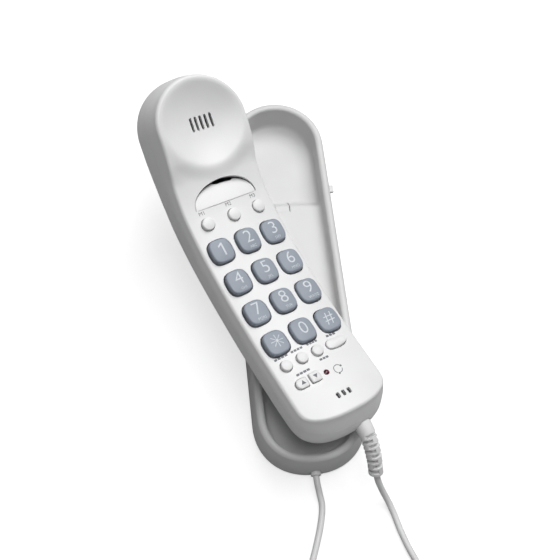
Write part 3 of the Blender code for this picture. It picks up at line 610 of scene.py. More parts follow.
def key_holes(grow):
    """The cutters of every key's hole and the lamp's."""
    cutters = []
    for name, x, s, plan, _ in all_keys():
        reach = np.hypot(plan[:, 0], plan[:, 1])[:, None]
        gap = grow if len(plan) == NUMBER_POINTS else grow / 2
        cutters.append(prism(name, plan * (1.0 + gap / reach), *HOLE_SPAN, standing(x, s)))
    lamp = squircle(2 * LAMP_R + 0.3, 2 * LAMP_R + 0.3, 2.0, 24)
    cutters.append(prism("lamp", lamp, *HOLE_SPAN, standing(LAMP_X, LAMP_S)))
    return cutters


def sound_slots():
    """The five slots over the receiver and the three over the microphone."""
    ear = squircle(SLOT_W, SLOT_L, 5.0, 32)
    mouth = squircle(MIC_W, MIC_L, 4.0, 32)
    cutters = []
    for i in range(SLOT_COUNT):
        x = SLOTS_X + (i - (SLOT_COUNT - 1) / 2) * SLOT_PITCH
        cutters.append(prism("ear_slot", ear, *SLOT_SPAN, standing(x, S_EAR, -DISH_DEPTH)))
    for i in range(3):
        x = (i - 1) * MIC_PITCH
        cutters.append(prism("mouth_slot", mouth, *SLOT_SPAN, standing(x, MIC_S)))
    return cutters


def crescent(half, rise, sag=0.7, count=96):
    """A lens with a nearly straight lower side, leaning over to the right.

    y = rise * sin(a)^0.9 above and -sag * |sin(a)| below; x = half * cos(a) + 0.1 * y.
    """
    a = np.linspace(0.0, math.tau, count, endpoint=False)
    s = np.sin(a)
    y = np.where(s > 0, rise * np.abs(s) ** 0.9, -sag * np.abs(s))
    return np.stack((half * np.cos(a) + 0.1 * y, y), axis=1)


def boot_root():
    """Where the boot meets the mouth end: the hole's centre and the point behind it, handset frame."""
    return bend(BOOT_X, S_MOUTH, BOOT_T), bend(BOOT_X, S_MOUTH + 5.0, BOOT_T)


def boot_hole():
    """The round hole that the boot passes, in both shells."""
    root, _ = boot_root()
    angle = slope(S_MOUTH)
    plan = squircle(10.0, 10.0, 2.0, 40)
    turn = np.array(((1.0, 0.0, 0.0), (0.0, math.sin(angle), math.cos(angle)),
                     (0.0, -math.cos(angle), math.sin(angle))))
    return prism("boot_hole", plan, -7.0, 7.0, lambda points: in_frame(points @ turn + root))


def handset_front():
    """Front shell: face, ear dish and upper flanks, with every hole in it."""
    mesh = skin("handset_front", in_frame(front_rings()))
    hang = prism("hang", crescent(HANG_HALF, HANG_RISE), -9.0, 9.0, standing(0.0, HANG_S))
    cutters = key_holes(sizes().key_gap / MM) + sound_slots() + [hang, boot_hole()]
    return piece("handset_front", carve(mesh, joined("cutters", cutters)), "handset", "handset",
                 "handset_plastic", "handset_front_shell")


def handset_back():
    """Back shell: lower flanks and rounded back.

    Each ring lies a share of the depth below the parting line, drawn in along a smooth curve.
    """
    plan = handset_plan()
    share = np.array((1.0, 1.0, 1.0, 0.997, 0.985, 0.96, 0.92, 0.87, 0.81, 0.74, 0.66, 0.57, 0.47, 0.35, 0.2,
                      0.0))
    inset = np.array((SPINE, 22.0, 17.0, 12.5, 10.0, 8.0, 6.2, 4.6, 3.3, 2.2, 1.35, 0.7, 0.28, 0.05, 0.0,
                      0.0))
    inset = np.where(share < 0.9, inset - SWELL * (1.0 - share ** 3), inset)

    def below(v, lift):
        return lambda x, s: PARTING - SEAM - v * (body_depth(s) + PARTING + SEAM - lift)
    rings = [plan_ring(plan, i, below(v, 0.0)) for v, i in zip(share, inset)]
    rings += [plan_ring(plan, i, below(v, WALL))
              for v, i in ((0.0, WALL), (0.35, WALL), (0.55, WALL + 1.0), (0.78, 5.2), (0.92, 8.6),
                           (1.0, 14.0), (1.0, 22.0), (1.0, SPINE))]
    mesh = skin("handset_back", in_frame(np.stack(rings)))
    return piece("handset_back", carve(mesh, boot_hole()), "handset", "handset", "handset_plastic",
                 "handset_back_shell")


def hang_ramp():
    """The smooth ramp in the crescent opening: it falls towards the ear, with a notch at its crest."""
    plan = crescent(HANG_HALF - 0.35, HANG_RISE - 0.35, 0.4) + (0.12, 0.0)
    notch = 1.7 * np.exp(-((plan[:, 0] - 3.0) / 6.2) ** 8) * (plan[:, 1] > HANG_RISE / 2)
    plan[:, 1] -= notch
    shares = np.concatenate(((0.0,), np.linspace(0.2, 0.96, 9), (0.99, 1.0)))
    drops = np.concatenate((np.zeros(10), (0.12, 0.5)))
    middle = np.array((0.0, HANG_RISE * 0.4))

    def top(x, y):
        return face_t(x, HANG_S + y) - 0.3 - 2.6 * np.clip(y / HANG_RISE, 0.0, 1.0) ** 1.2
    rings = []
    for share, drop in zip(shares, drops):
        x, y = (middle + (plan - middle) * share).T
        rings.append(np.stack((x, y, top(x, y) - drop), axis=1))
    for share in (1.0, 0.5, 0.0):
        x, y = (middle + (plan - middle) * share).T
        rings.append(np.stack((x, y, top(x, y) - 1.9), axis=1))
    mesh = skin("hang_ramp", standing(0.0, HANG_S)(np.stack(rings)))
    return piece("hang_ramp", mesh, "handset", "handset", "handset_plastic", "hang_slot_ramp")


# ================================================================ keys
def all_keys():
    """Every key as its node's name, x, s, plan and height above the face."""
    number = squircle(sizes().key_width / MM, sizes().key_length / MM, KEY_POWER, NUMBER_POINTS)
    button = squircle(2 * ROUND_R, 2 * ROUND_R, 2.0, 48)
    keys = []
    for row, names in enumerate(NUMBER_NAMES):
        for column, mark in enumerate(names):
            keys.append(("key_" + mark, (column - 1) * COL_PITCH, ROW_MIDDLE + (1.5 - row) * ROW_PITCH,
                         number, sizes().key_stand / MM))
    for i in range(3):
        keys.append((f"memory_key_{i + 1}", (i - 1) * MEMORY_PITCH, MEMORY_S, button, MEMORY_STAND))
    for i in range(3):
        keys.append((f"function_key_{i + 1}", FUNCTION_X + i * FUNCTION_PITCH, FUNCTION_S,
                     button * (FUNCTION_R / ROUND_R), FUNCTION_STAND))
    keys.append(("recall_key", OBLONG_X, FUNCTION_S, oblong_plan(OBLONG_W, OBLONG_L), OBLONG_STAND))
    keys.append(("volume_up_key", VOLUME_X, VOLUME_S, half_round_plan(VOLUME_W, VOLUME_L), VOLUME_STAND))
    keys.append(("volume_down_key", VOLUME_X + VOLUME_PITCH, VOLUME_S,
                 squircle(VOLUME_W - 0.8, VOLUME_L, 7.0, 48), VOLUME_STAND))
    return keys


def oblong_plan(width, length):
    """An egg: round at the left end and drawn out to the right."""
    plan = squircle(width, length, 2.6, 64)
    taper = 1.0 - 0.22 * (plan[:, 0] / width + 0.5)
    plan[:, 1] *= taper
    return plan


def half_round_plan(width, length):
    """A plan round at its left end and nearly square at its right."""
    left, right = squircle(width, length, 2.2, 64), squircle(width, length, 7.0, 64)
    return np.where(left[:, :1] < 0.0, left, right)


def key_surface(plan, root, base, stand, edge, dome):
    """A key: a straight wall, a quarter-round shoulder of radius edge, and a domed top.

    The plan shrinks towards its centre as (reach - inset) / reach; the dome adds
    dome * (1 - share squared) above the shoulder.
    """
    reach = np.hypot(plan[:, 0], plan[:, 1])[:, None]
    low = float(reach.min())
    rings = []

    def ring(inset, z):
        share = np.clip(1.0 - inset / reach, 0.0, None)
        flat = plan * share
        rings.append(np.concatenate((flat, np.full((len(plan), 1), z)), axis=1))
    ring(low * 2.0, root)
    ring(0.0, root)
    ring(0.0, base + stand * 0.3)
    for a in np.radians(np.linspace(0.0, 90.0, 8)):
        ring(edge * (1.0 - math.cos(a)), base + stand - edge + edge * math.sin(a))
    for share in np.linspace(0.92, 0.0, 9):
        flat = plan * share * (1.0 - edge / reach)
        height = base + stand + dome * (1.0 - share * share)
        rings.append(np.concatenate((flat, np.full((len(plan), 1), height)), axis=1))
    return np.stack(rings)


def key_piece(name, x, s, plan, stand):
    """One key in its hole, on its own body."""
    number = name[4:] in "0123456789" or name in ("key_star", "key_hash")
    base = float(face_t(x, s))
    edge, dome = (NUMBER_EDGE, NUMBER_DOME) if number else (SMALL_EDGE, SMALL_DOME)
    points = key_surface(plan, KEY_ROOT + base, base, stand, edge, dome)
    mesh = skin(name, standing(x, s)(points))
    look, slot = ("key", "number_keys") if number else ("small_key", "small_keys")
    return piece(name + "_cap", mesh, look, name + "_body", slot, name, sharp=60.0)


def key_pieces():
    """Every key."""
    for key in all_keys():
        key_piece(*key)


# ================================================================ printing
def glyphs(text, height, thin=0.0):
    """A line of text as a flat bmesh, centred on the origin, its capitals a height tall (mm)."""
    curve = bpy.data.curves.new("print", "FONT")
    curve.body = text
    curve.size = height * 1.38
    curve.align_x = "CENTER"
    curve.align_y = "CENTER"
    curve.offset = -thin
    curve.resolution_u = 6
    holder = bpy.data.objects.new("print", curve)
    mesh = bpy.data.meshes.new_from_object(holder)
    bpy.data.objects.remove(holder)
    bpy.data.curves.remove(curve)
    work = bmesh.new()
    work.from_mesh(mesh)
    bpy.data.meshes.remove(mesh)
    bmesh.ops.remove_doubles(work, verts=work.verts, dist=height * 0.002)
    return in_small_pieces(work)


def in_small_pieces(work):
    """The flat mesh cut into triangles with no edge over 1.5 mm, so that it can follow a dome."""
    for _ in range(4):
        work.normal_update()
        bmesh.ops.triangulate(work, faces=work.faces)
        long_edges = [edge for edge in work.edges if edge.calc_length() > 1.5]
        bmesh.ops.subdivide_edges(work, edges=long_edges, cuts=1)
    work.normal_update()
    bmesh.ops.triangulate(work, faces=work.faces)
    return work


def plan_print(points):
    """A filled flat outline as a bmesh."""
    work = bmesh.new()
    work.faces.new([work.verts.new((x, y, 0.0)) for x, y in points])
    return in_small_pieces(work)


def bar(width, height):
    """A printed dash with rounded corners."""
    return plan_print(squircle(width, height, 6.0, 20))


def numeral_one(height):
    """A bold 1 with a slanting flag and no foot, a height tall."""
    stem, flag, drop = 0.13 * height, 0.25 * height, 0.21 * height
    points = ((0.0, -0.5), (1.0, -0.5), (1.0, 0.5), (0.3, 0.5))
    outline = [(x * stem, y * height) for x, y in points]
    outline += [(-flag, 0.5 * height - drop), (-flag, 0.5 * height - drop - stem * 0.95),
                (0.0, 0.5 * height - drop * 0.85)]
    return plan_print(outline)


def star(radius, waist):
    """An eight-armed star with blunt arms: the reach swings between radius and waist."""
    a = np.linspace(0.0, math.tau, 96, endpoint=False)
    reach = waist + (radius - waist) * smooth_step(0.35, 0.95, np.cos(8 * a))
    return plan_print(np.stack((reach * np.sin(a), reach * np.cos(a)), axis=1))


def ring_print(radius, line, start, end):
    """A printed arc between two angles, line wide."""
    a = np.radians(np.linspace(start, end, 40))
    rows = np.array((radius - line, radius))[:, None, None] * np.stack((np.cos(a), np.sin(a)), axis=1)
    work = bmesh.new()
    inner, outer = ([work.verts.new((x, y, 0.0)) for x, y in row] for row in rows)
    for corners in zip(inner, outer, outer[1:], inner[1:]):
        work.faces.new(corners)
    return work


def lay(name, marks, height_at, finish_name):
    """Flat marks (bmesh, x, s) laid on a surface: height_at(x, s) gives each vertex its place."""
    whole = bmesh.new()
    for work, x, s in marks:
        co = np.array([v.co[:] for v in work.verts])
        across, along = co[:, 0] + x, co[:, 1] + s
        points = in_frame(height_at(across, along))
        for vert, point in zip(work.verts, points):
            vert.co = point
        mesh = as_mesh(name, work)
        whole.from_mesh(mesh)
        bpy.data.meshes.remove(mesh)
    mesh = as_mesh(name, whole)
    made = keep(name, mesh, finish_name)
    up = HANDSET[:3, 2]
    facing = np.array([p.normal[:] for p in mesh.polygons]).sum(axis=0) @ up
    if facing < 0.0:
        mesh.flip_normals()
    return made


def key_marks():
    """The pale numerals and letters on the number keys, one piece a key on the key's body."""
    for name, x0, s0, plan, stand in all_keys()[:12]:
        mark = name[4:]
        rise = 1.3 if mark in LETTERS else 0.4
        if mark == "1":
            marks = [(numeral_one(NUMERAL_H), 0.4, rise)]
        elif mark == "star":
            marks = [(star(3.9, 0.75), 0.5, rise)]
        else:
            marks = [(glyphs("#" if mark == "hash" else mark, NUMERAL_H, 0.09), 0.4, rise)]
        if mark in LETTERS:
            marks.append((glyphs(LETTERS[mark], LETTER_H), 0.6, LETTER_S))
        half_w, half_l = (size / MM / 2 - NUMBER_EDGE for size in (sizes().key_width, sizes().key_length))
        base = float(face_t(x0, s0)) + stand
        put = standing(x0, s0)

        def height_at(x, y):
            share = (np.abs(x / half_w) ** KEY_POWER + np.abs(y / half_l) ** KEY_POWER) ** (1 / KEY_POWER)
            z = base + NUMBER_DOME * (1.0 - np.minimum(share, 1.0) ** 2) + 0.07
            points = put(np.stack((x, y, z), axis=1))
            return (points - HANDSET[:3, 3]) @ HANDSET[:3, :3] / MM
        made = lay(name + "_numeral", marks, height_at, "numeral")
        place(made, name + "_body", "number_keys")


def face_marks():
    """Generic grey marks on the face and on the volume keys."""
    def on_shell(x, s):
        return bend(x, s, face_t(x, s) + 0.05)
    marks = [(glyphs(f"M{i + 1}", 2.2), (i - 1) * MEMORY_PITCH - 0.6, MEMORY_S + 6.9) for i in range(3)]
    for i, length in enumerate((8.4, 7.6, 7.2)):
        x = FUNCTION_X + i * FUNCTION_PITCH
        for k in range(4):
            marks.append((bar(length / 4 - 0.4, DASH_H), x - length * (3 - 2 * k) / 8, FUNCTION_S + 5.6))
    for k in range(3):
        marks.append((bar(1.8, DASH_H), OBLONG_X - 2.2 + 2.2 * k, FUNCTION_S + 5.4))
        marks.append((bar(1.6, DASH_H), FUNCTION_X + 2 * FUNCTION_PITCH - 1.0 + 2.0 * k, FUNCTION_S - 5.3))
    for k in range(4):
        marks.append((bar(1.8, DASH_H), VOLUME_X + VOLUME_PITCH / 2 - 3.2 + 2.15 * k, VOLUME_S + 5.4))
    for start, end in ((20.0, 235.0), (265.0, 350.0)):
        marks.append((ring_print(RING_R, RING_LINE, start, end), RING_X, RING_S))
    for x, s in ((7.7, -59.0), (4.6, -62.6)):
        marks.append((plan_print(squircle(1.2, 1.2, 2.0, 16)), x, s))
    place(lay("face_print", marks, on_shell, "ink"), "handset", "small_keys")
    triangle = np.array(((-1.35, -1.0), (1.35, -1.0), (0.0, 1.3)))
    for name, x0, way in (("volume_up_key", VOLUME_X + 0.5, 1.0),
                          ("volume_down_key", VOLUME_X + VOLUME_PITCH, -1.0)):
        points = triangle * way if way > 0 else triangle[::-1] * (1.0, -1.0)

        def on_key(x, s):
            return bend(x, s, face_t(x, s) + VOLUME_STAND + 0.42)
        place(lay(name + "_mark", [(plan_print(points), x0, VOLUME_S)], on_key, "ink"), name + "_body",
              "small_keys")


def lamp_lens():
    """The in-use lamp: a small dome in its hole."""
    plan = squircle(2 * LAMP_R, 2 * LAMP_R, 2.0, 32)
    base = float(face_t(LAMP_X, LAMP_S))
    points = key_surface(plan, base - 4.0, base, 0.35, 0.3, 0.45)
    mesh = skin("lamp", standing(LAMP_X, LAMP_S)(points))
    return piece("lamp_lens", mesh, "lamp", "handset", "lamp", "in_use_lamp", sharp=60.0)


# ================================================================ sweeps
def unit(v):
    """Vectors scaled to length 1."""
    return v / np.linalg.norm(v, axis=-1, keepdims=True)


def carried_frames(path):
    """Two directions square to the path at each point, carried along it with no twist."""
    ahead = unit(np.gradient(path, axis=0))
    side = np.empty_like(path)
    side[0] = unit(np.cross(ahead[0], (0.31, 0.87, 0.38)))
    for i in range(1, len(path)):
        side[i] = unit(side[i - 1] - ahead[i] * (side[i - 1] @ ahead[i]))
    return side, np.cross(ahead, side)


def tube_rings(path, radius, sides):
    """Rings round a path; radius is a number, one for each point, or a (points, sides) table."""
    side, up = carried_frames(path)
    a = np.linspace(0.0, math.tau, sides, endpoint=False)
    reach = np.broadcast_to(np.asarray(radius, float).reshape(-1, 1) if np.ndim(radius) < 2 else radius,
                            (len(path), sides))[..., None]
    return path[:, None] + (side[:, None] * np.cos(a)[:, None] + up[:, None] * np.sin(a)[:, None]) * reach


def through(points, spacing):
    """Points a spacing apart on a smooth curve through a route's own points (Catmull-Rom)."""
    route = np.asarray(points, float)
    ends = np.concatenate((2 * route[:1] - route[1:2], route, 2 * route[-1:] - route[-2:-1]))
    before, a, b, after = (ends[i:len(ends) - 3 + i][:, None] for i in range(4))
    t = np.linspace(0.0, 1.0, 24, endpoint=False)[:, None]
    fine = 0.5 * (2 * a + (b - before) * t + (2 * before - 5 * a + 4 * b - after) * t ** 2
                  + (3 * a - before - 3 * b + after) * t ** 3)
    fine = np.concatenate((fine.reshape(-1, 3), route[-1:]))
    walked = np.concatenate(((0.0,), np.cumsum(np.linalg.norm(np.diff(fine, axis=0), axis=1))))
    wanted = np.linspace(0.0, walked[-1], max(2, round(walked[-1] / spacing)) + 1)
    return np.stack([np.interp(wanted, walked, fine[:, k]) for k in range(3)], axis=1)


def length_of(path):
    """Length of a path."""
    return float(np.linalg.norm(np.diff(path, axis=0), axis=1).sum())


# ================================================================ cord and strain relief
def curl_axis():
    """The hairpin that the curl lies along: two straight legs and a half circle, 0.5 mm apart."""
    low = CURL_TOP - CURL_LEG
    radius, middle = (CURL_RIGHT - CURL_LEFT) / 2, (CURL_RIGHT + CURL_LEFT) / 2
    leg = np.linspace(CURL_TOP, low, 121)
    a = np.linspace(0.0, math.pi, 221)[1:-1]
    x = np.concatenate((np.full_like(leg, CURL_RIGHT), middle + radius * np.cos(a),
                        np.full_like(leg, CURL_LEFT)))
    y = np.concatenate((leg, low - radius * np.sin(a), leg[::-1]))
    return np.stack((x, y, np.full_like(x, CURL_Z)), axis=1)


def helix(turns):
    """The helix round the hairpin.

    A point of the axis is moved by r * (cos(a) * sideways + sin(a) * up). Over LEAD at both ends
    r grows smoothly from nothing to the full radius, and a turns as fast as r has grown, so the
    cord winds up without a kink.
    """
    axis = curl_axis()
    walked = np.concatenate(((0.0,), np.cumsum(np.linalg.norm(np.diff(axis, axis=0), axis=1))))
    along = np.linspace(0.0, walked[-1], turns * 18 + 1)
    centre = np.stack([np.interp(along, walked, axis[:, k]) for k in range(3)], axis=1)
    ahead = unit(np.gradient(centre, axis=0))
    sideways = np.stack((ahead[:, 1], -ahead[:, 0], np.zeros(len(along))), axis=1)
    grown = smooth_step(0.0, LEAD, np.minimum(along, along[-1] - along))
    wound = np.cumsum(grown)
    a = (math.tau * turns * wound / wound[-1] - math.pi / 2)[:, None]
    return centre + TURN_R * grown[:, None] * (np.cos(a) * sideways + np.sin(a) * np.array((0.0, 0.0, 1.0)))


def curl(length):
    """The helix with as many turns as bring it nearest to a length."""
    around = math.tau * TURN_R
    turns = round(length / around)
    return helix(turns + round((length - length_of(helix(turns))) / around))


def cord_path():
    """The whole cord's centre line from inside the boot's end to the cradle's grommet."""
    end, before = np.array(BOOT_END), np.array(BOOT_BEND)
    inside = end - unit(end - before) * 2.5
    first = np.array((0.0, -CR_L / 2 - CR_FLARE + 1.2 - 0.6, CORD_HOLE_Z))
    lead_in = ((CURL_RIGHT - 0.3, CURL_TOP + 3.7, CURL_Z - 0.5), (CURL_RIGHT, CURL_TOP + 1.0, CURL_Z))
    handset_tail = through((inside, end, *HANDSET_TAIL, *lead_in), 1.3)
    lead_out = ((CURL_LEFT + 0.4, CURL_TOP + 4.5, CURL_Z - 0.6), (CURL_LEFT, CURL_TOP + 1.0, CURL_Z))
    cradle_tail = through((first, *CRADLE_TAIL, *lead_out), 1.3)[::-1]
    wound = curl(CORD_LENGTH - length_of(handset_tail) - length_of(cradle_tail))
    return on_cradle(np.concatenate((handset_tail, wound, cradle_tail)))


def curly_cord():
    """The one curly cord, plain at both ends, bending between the handset and the cradle."""
    path = cord_path()
    mesh = skin("cord", tube_rings(path, CORD_D / 2 * MM, sizes().cord_sides), weld=False, caps=True)
    made = keep("curly_cord", mesh, "cord", 70.0)
    leaves = Vector(on_cradle(BOOT_END))
    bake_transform(made)
    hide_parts("handset_cord_tail", "handset_cord_curl", "cradle_cord_tail")
    return made


def strain_relief():
    """The ringed boot on the handset's cord.

    The radius round the boot is core + (outer - core) * max(ring, strut): rings come at even
    steps along it, and between them two struts stand, turned a quarter from gap to gap.
    """
    root, inside = boot_root()
    middle, end = from_cradle(BOOT_BEND), from_cradle(BOOT_END)
    v = np.linspace(0.0, 1.0, 220)[:, None]
    curve = root * (1 - v) ** 2 + middle * 2 * v * (1 - v) + end * v ** 2
    path = np.concatenate((inside[None], root[None] * 0.5 + inside[None] * 0.5, curve))
    share = np.concatenate(((0.0, 0.0), v[:, 0]))[:, None]
    outer = BOOT_OUTER - BOOT_TAPER * share
    core = BOOT_CORE - CORE_TAPER * share
    phase = np.clip((share - BOOT_COLLAR) / (BOOT_LIP - BOOT_COLLAR), 0.0, 1.0) * BOOT_GAPS
    local = phase - np.floor(phase)
    ring = smooth_step(0.56, 0.68, np.abs(2.0 * local - 1.0))
    ring = np.where((share < BOOT_COLLAR) | (share > BOOT_LIP), 1.0, ring)
    a = np.linspace(0.0, math.tau, BOOT_SIDES, endpoint=False)[None]
    quarter = np.floor(phase) % 2 * math.pi / 2 + BOOT_TWIST
    strut = smooth_step(0.86, 0.93, np.abs(np.cos(a - quarter)))
    radius = core + (outer - core) * np.maximum(ring, strut)
    radius[-1] = radius[-1] - 0.3
    mesh = skin("boot", in_frame(tube_rings(path, radius, BOOT_SIDES)), weld=False, caps=True)
    return piece("strain_relief", mesh, "boot", "handset", "handset_plastic", "handset_strain_relief",
                 sharp=50.0)


# ================================================================ cradle
def cradle_plan():
    """The cradle's plan in x and y."""
    return stadium(lambda y: CR_W / 2 + 0.0 * y, -CR_L / 2, CR_L / 2, CR_FOOT_CAP, CR_EAR_CAP,
                   2.2, 2.0, 1.5, 73)


def cradle_floor(x, y):
    """Height of the floor: the ear recess, the raised deck and the mouth cup."""
    deck = smooth_step(CUP_Y - CUP_RUN, CUP_Y, y) * (DECK_Z - CUP_Z) + CUP_Z
    ridge = RIDGE_Y - RIDGE_BOW * (x / (CR_W / 2)) ** 2
    return deck + (RECESS_Z - deck) * smooth_step(ridge, ridge + RIDGE_RUN, y)


def cradle_ring(plan, inset, height):
    """A ring of the cradle at an inset; height is a number or a function of x and y."""
    x, y = inset_ring(plan, inset)
    z = height(x, y) if callable(height) else np.full_like(x, height)
    return np.stack((x, y, z), axis=1)


def cradle_body():
    """Cradle shell: the stepped floor, the inner wall, the rounded rim and the flared outer wall."""
    plan = cradle_plan()

    def floor(lift):
        return lambda x, y: cradle_floor(x, y) + lift
    rings = [cradle_ring(plan, inset, floor(0.0)) for inset in (SPINE, 26.0, 22.0, 18.0, 14.0, 11.0, 9.0)]
    for a in np.radians(np.linspace(15.0, 90.0, 6)):
        rings.append(cradle_ring(plan, COVE_INSET - COVE_R * math.sin(a),
                                 floor(COVE_R * (1.0 - math.cos(a)))))
    for v in np.linspace(0.15, 1.0, 6):
        rings.append(cradle_ring(plan, WALL_INSET - 0.6 * v, lambda x, y, v=v: (
            (cradle_floor(x, y) + COVE_R) * (1 - v) + (CR_H - RIM_H) * v)))
    for a in np.radians(np.linspace(15.0, 165.0, 11)):
        rings.append(cradle_ring(plan, RIM_HALF + RIM_HALF * math.cos(a), CR_H - RIM_H + RIM_H * math.sin(a)))
    for z, grow in ((CR_H - RIM_H, 0.0), (18.0, 0.6), (13.0, 1.2), (10.0, 1.6), (6.0, 2.15), (2.2, 2.7),
                    (BOTTOM, 2.5)):
        rings.append(cradle_ring(plan, -grow, z))
    rings += [cradle_ring(plan, 0.0, BOTTOM), cradle_ring(plan, 1.8, 3.6)]
    rings += [cradle_ring(plan, inset, floor(-FLOOR_T)) for inset in (8.0, 14.0, 22.0, SPINE)]
    mesh = skin("cradle_body", on_cradle(np.stack(rings)))
    cutters = [prism("plunger", squircle(7.0, 9.0, 8.0, 40) + HOOK_AT, DECK_Z - 4.0, DECK_Z + 4.0, on_cradle),
               prism("tab", squircle(HANG_TAB_W + 0.4, HANG_TAB_L + 0.12, 40.0, 96) + (0.14, TAB_Y),
                     2.0, 22.0, on_cradle),
               along_x("ringer", squircle(KNOB_L + 2 * RINGER_TRAVEL + 1.0, 2.6, 6.0, 32),
                       CR_W / 2 - 2.2, CR_W / 2 + 7.0, (RINGER_Y, RINGER_Z)),
               along_y("cord", squircle(6.4, 6.4, 2.0, 32), -CR_L / 2 - 9.0, -CR_L / 2 + 7.0,
                       (0.0, CORD_HOLE_Z))]
    return piece("cradle_body", carve(mesh, joined("cutters", cutters)), "cradle", "cradle",
                 "cradle_plastic", "cradle_shell")


def along_x(name, plan, low, high, at):
    """A prism lying along X, its plan in y and z round a point."""
    return prism(name, plan + at, low, high, lambda p: on_cradle(p[..., (2, 0, 1)]))


def along_y(name, plan, low, high, at):
    """A prism lying along Y, its plan in x and z round a point."""
    return prism(name, plan + at, low, high, lambda p: on_cradle(p[..., (0, 2, 1)]))


def hang_tab():
    """The tab across the ridge, flush with the floor it follows."""
    half, low = HANG_TAB_W / 2, TAB_Y - HANG_TAB_L / 2
    y = np.linspace(low, low + HANG_TAB_L, 41)
    top = cradle_floor(0.0, y)
    edge = 0.3
    section = ((-half, -1.6), (half, -1.6), (half, -edge), (half - edge, 0.0), (-half + edge, 0.0),
               (-half, -edge))
    rings = np.stack([np.stack((np.full_like(y, x), y, top + z), axis=1) for x, z in section], axis=1)
    mesh = skin("hang_tab", on_cradle(rings), weld=False, caps=True)
    return piece("hang_tab", mesh, "cradle", "cradle", "cradle_plastic", "wall_hang_tab")


def hook_plunger():
    """The hook switch's plunger standing out of the deck, with a softly rounded top."""
    plan = squircle(6.2, 8.2, 7.0, 48)
    points = key_surface(plan, DECK_Z - 4.0, DECK_Z, 4.0, 0.9, 0.2) + (*HOOK_AT, 0.0)
    mesh = skin("plunger", on_cradle(points))
    return piece("hook_plunger", mesh, "cradle", "hook_plunger_body", "cradle_plastic",
                 "hook_switch_plunger", sharp=60.0)


def ringer_knob():
    """The ringer switch's knob: a ribbed slide that stands out of the right wall."""
    low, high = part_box("ringer_switch_knob")
    centre = (np.array(low) + np.array(high)) / 2
    size = (np.array(high) - np.array(low)) / MM
    plan = squircle(size[1], size[2], 9.0, 96)
    z = np.linspace(-size[0] / 2, size[0] / 2, 9)
    soft = 1.0 - 0.14 * np.clip(z / (size[0] / 2), 0.0, 1.0) ** 6
    ribs = 1.0 + 0.05 * np.cos(plan[:, 0] * math.tau / 0.9) * (np.abs(plan[:, 1]) > size[2] * 0.35)
    rings = np.stack([np.stack((np.full(len(plan), h), plan[:, 0] * k, plan[:, 1] * ribs * k), axis=1)
                      for h, k in zip(z, soft)])
    mesh = skin("knob", rings * MM + centre, weld=False, caps=True)
    return piece("ringer_knob", mesh, "cradle", "ringer_knob_body", "cradle_plastic", "ringer_switch_knob")


INNER_FINISHES = {
    "rubber": ("rubber_foot_1", "rubber_foot_2", "rubber_foot_3", "rubber_foot_4", "receiver_gasket",
               "microphone_boot", "line_cord_grommet"),
    "boot": ("foot_grommet",),
    "steel": ("plate_screw_1", "plate_screw_2", "plate_screw_3", "plate_screw_4", "ringer_disc",
              "microphone_capsule", "ballast_bar"),
    "board": ("handset_circuit_board", "cradle_circuit_board"),
    "black": ("receiver_capsule", "hook_microswitch"),
    "silicone": ("keypad_mat",),
    "cradle": ("cradle_back_plate",),
}


def inner_finishes():
    """Finishes on the CAD pieces that stay as they are."""
    for name, nodes in INNER_FINISHES.items():
        for node in nodes:
            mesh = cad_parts[node].data
            mesh.materials.clear()
            mesh.materials.append(finish(name))


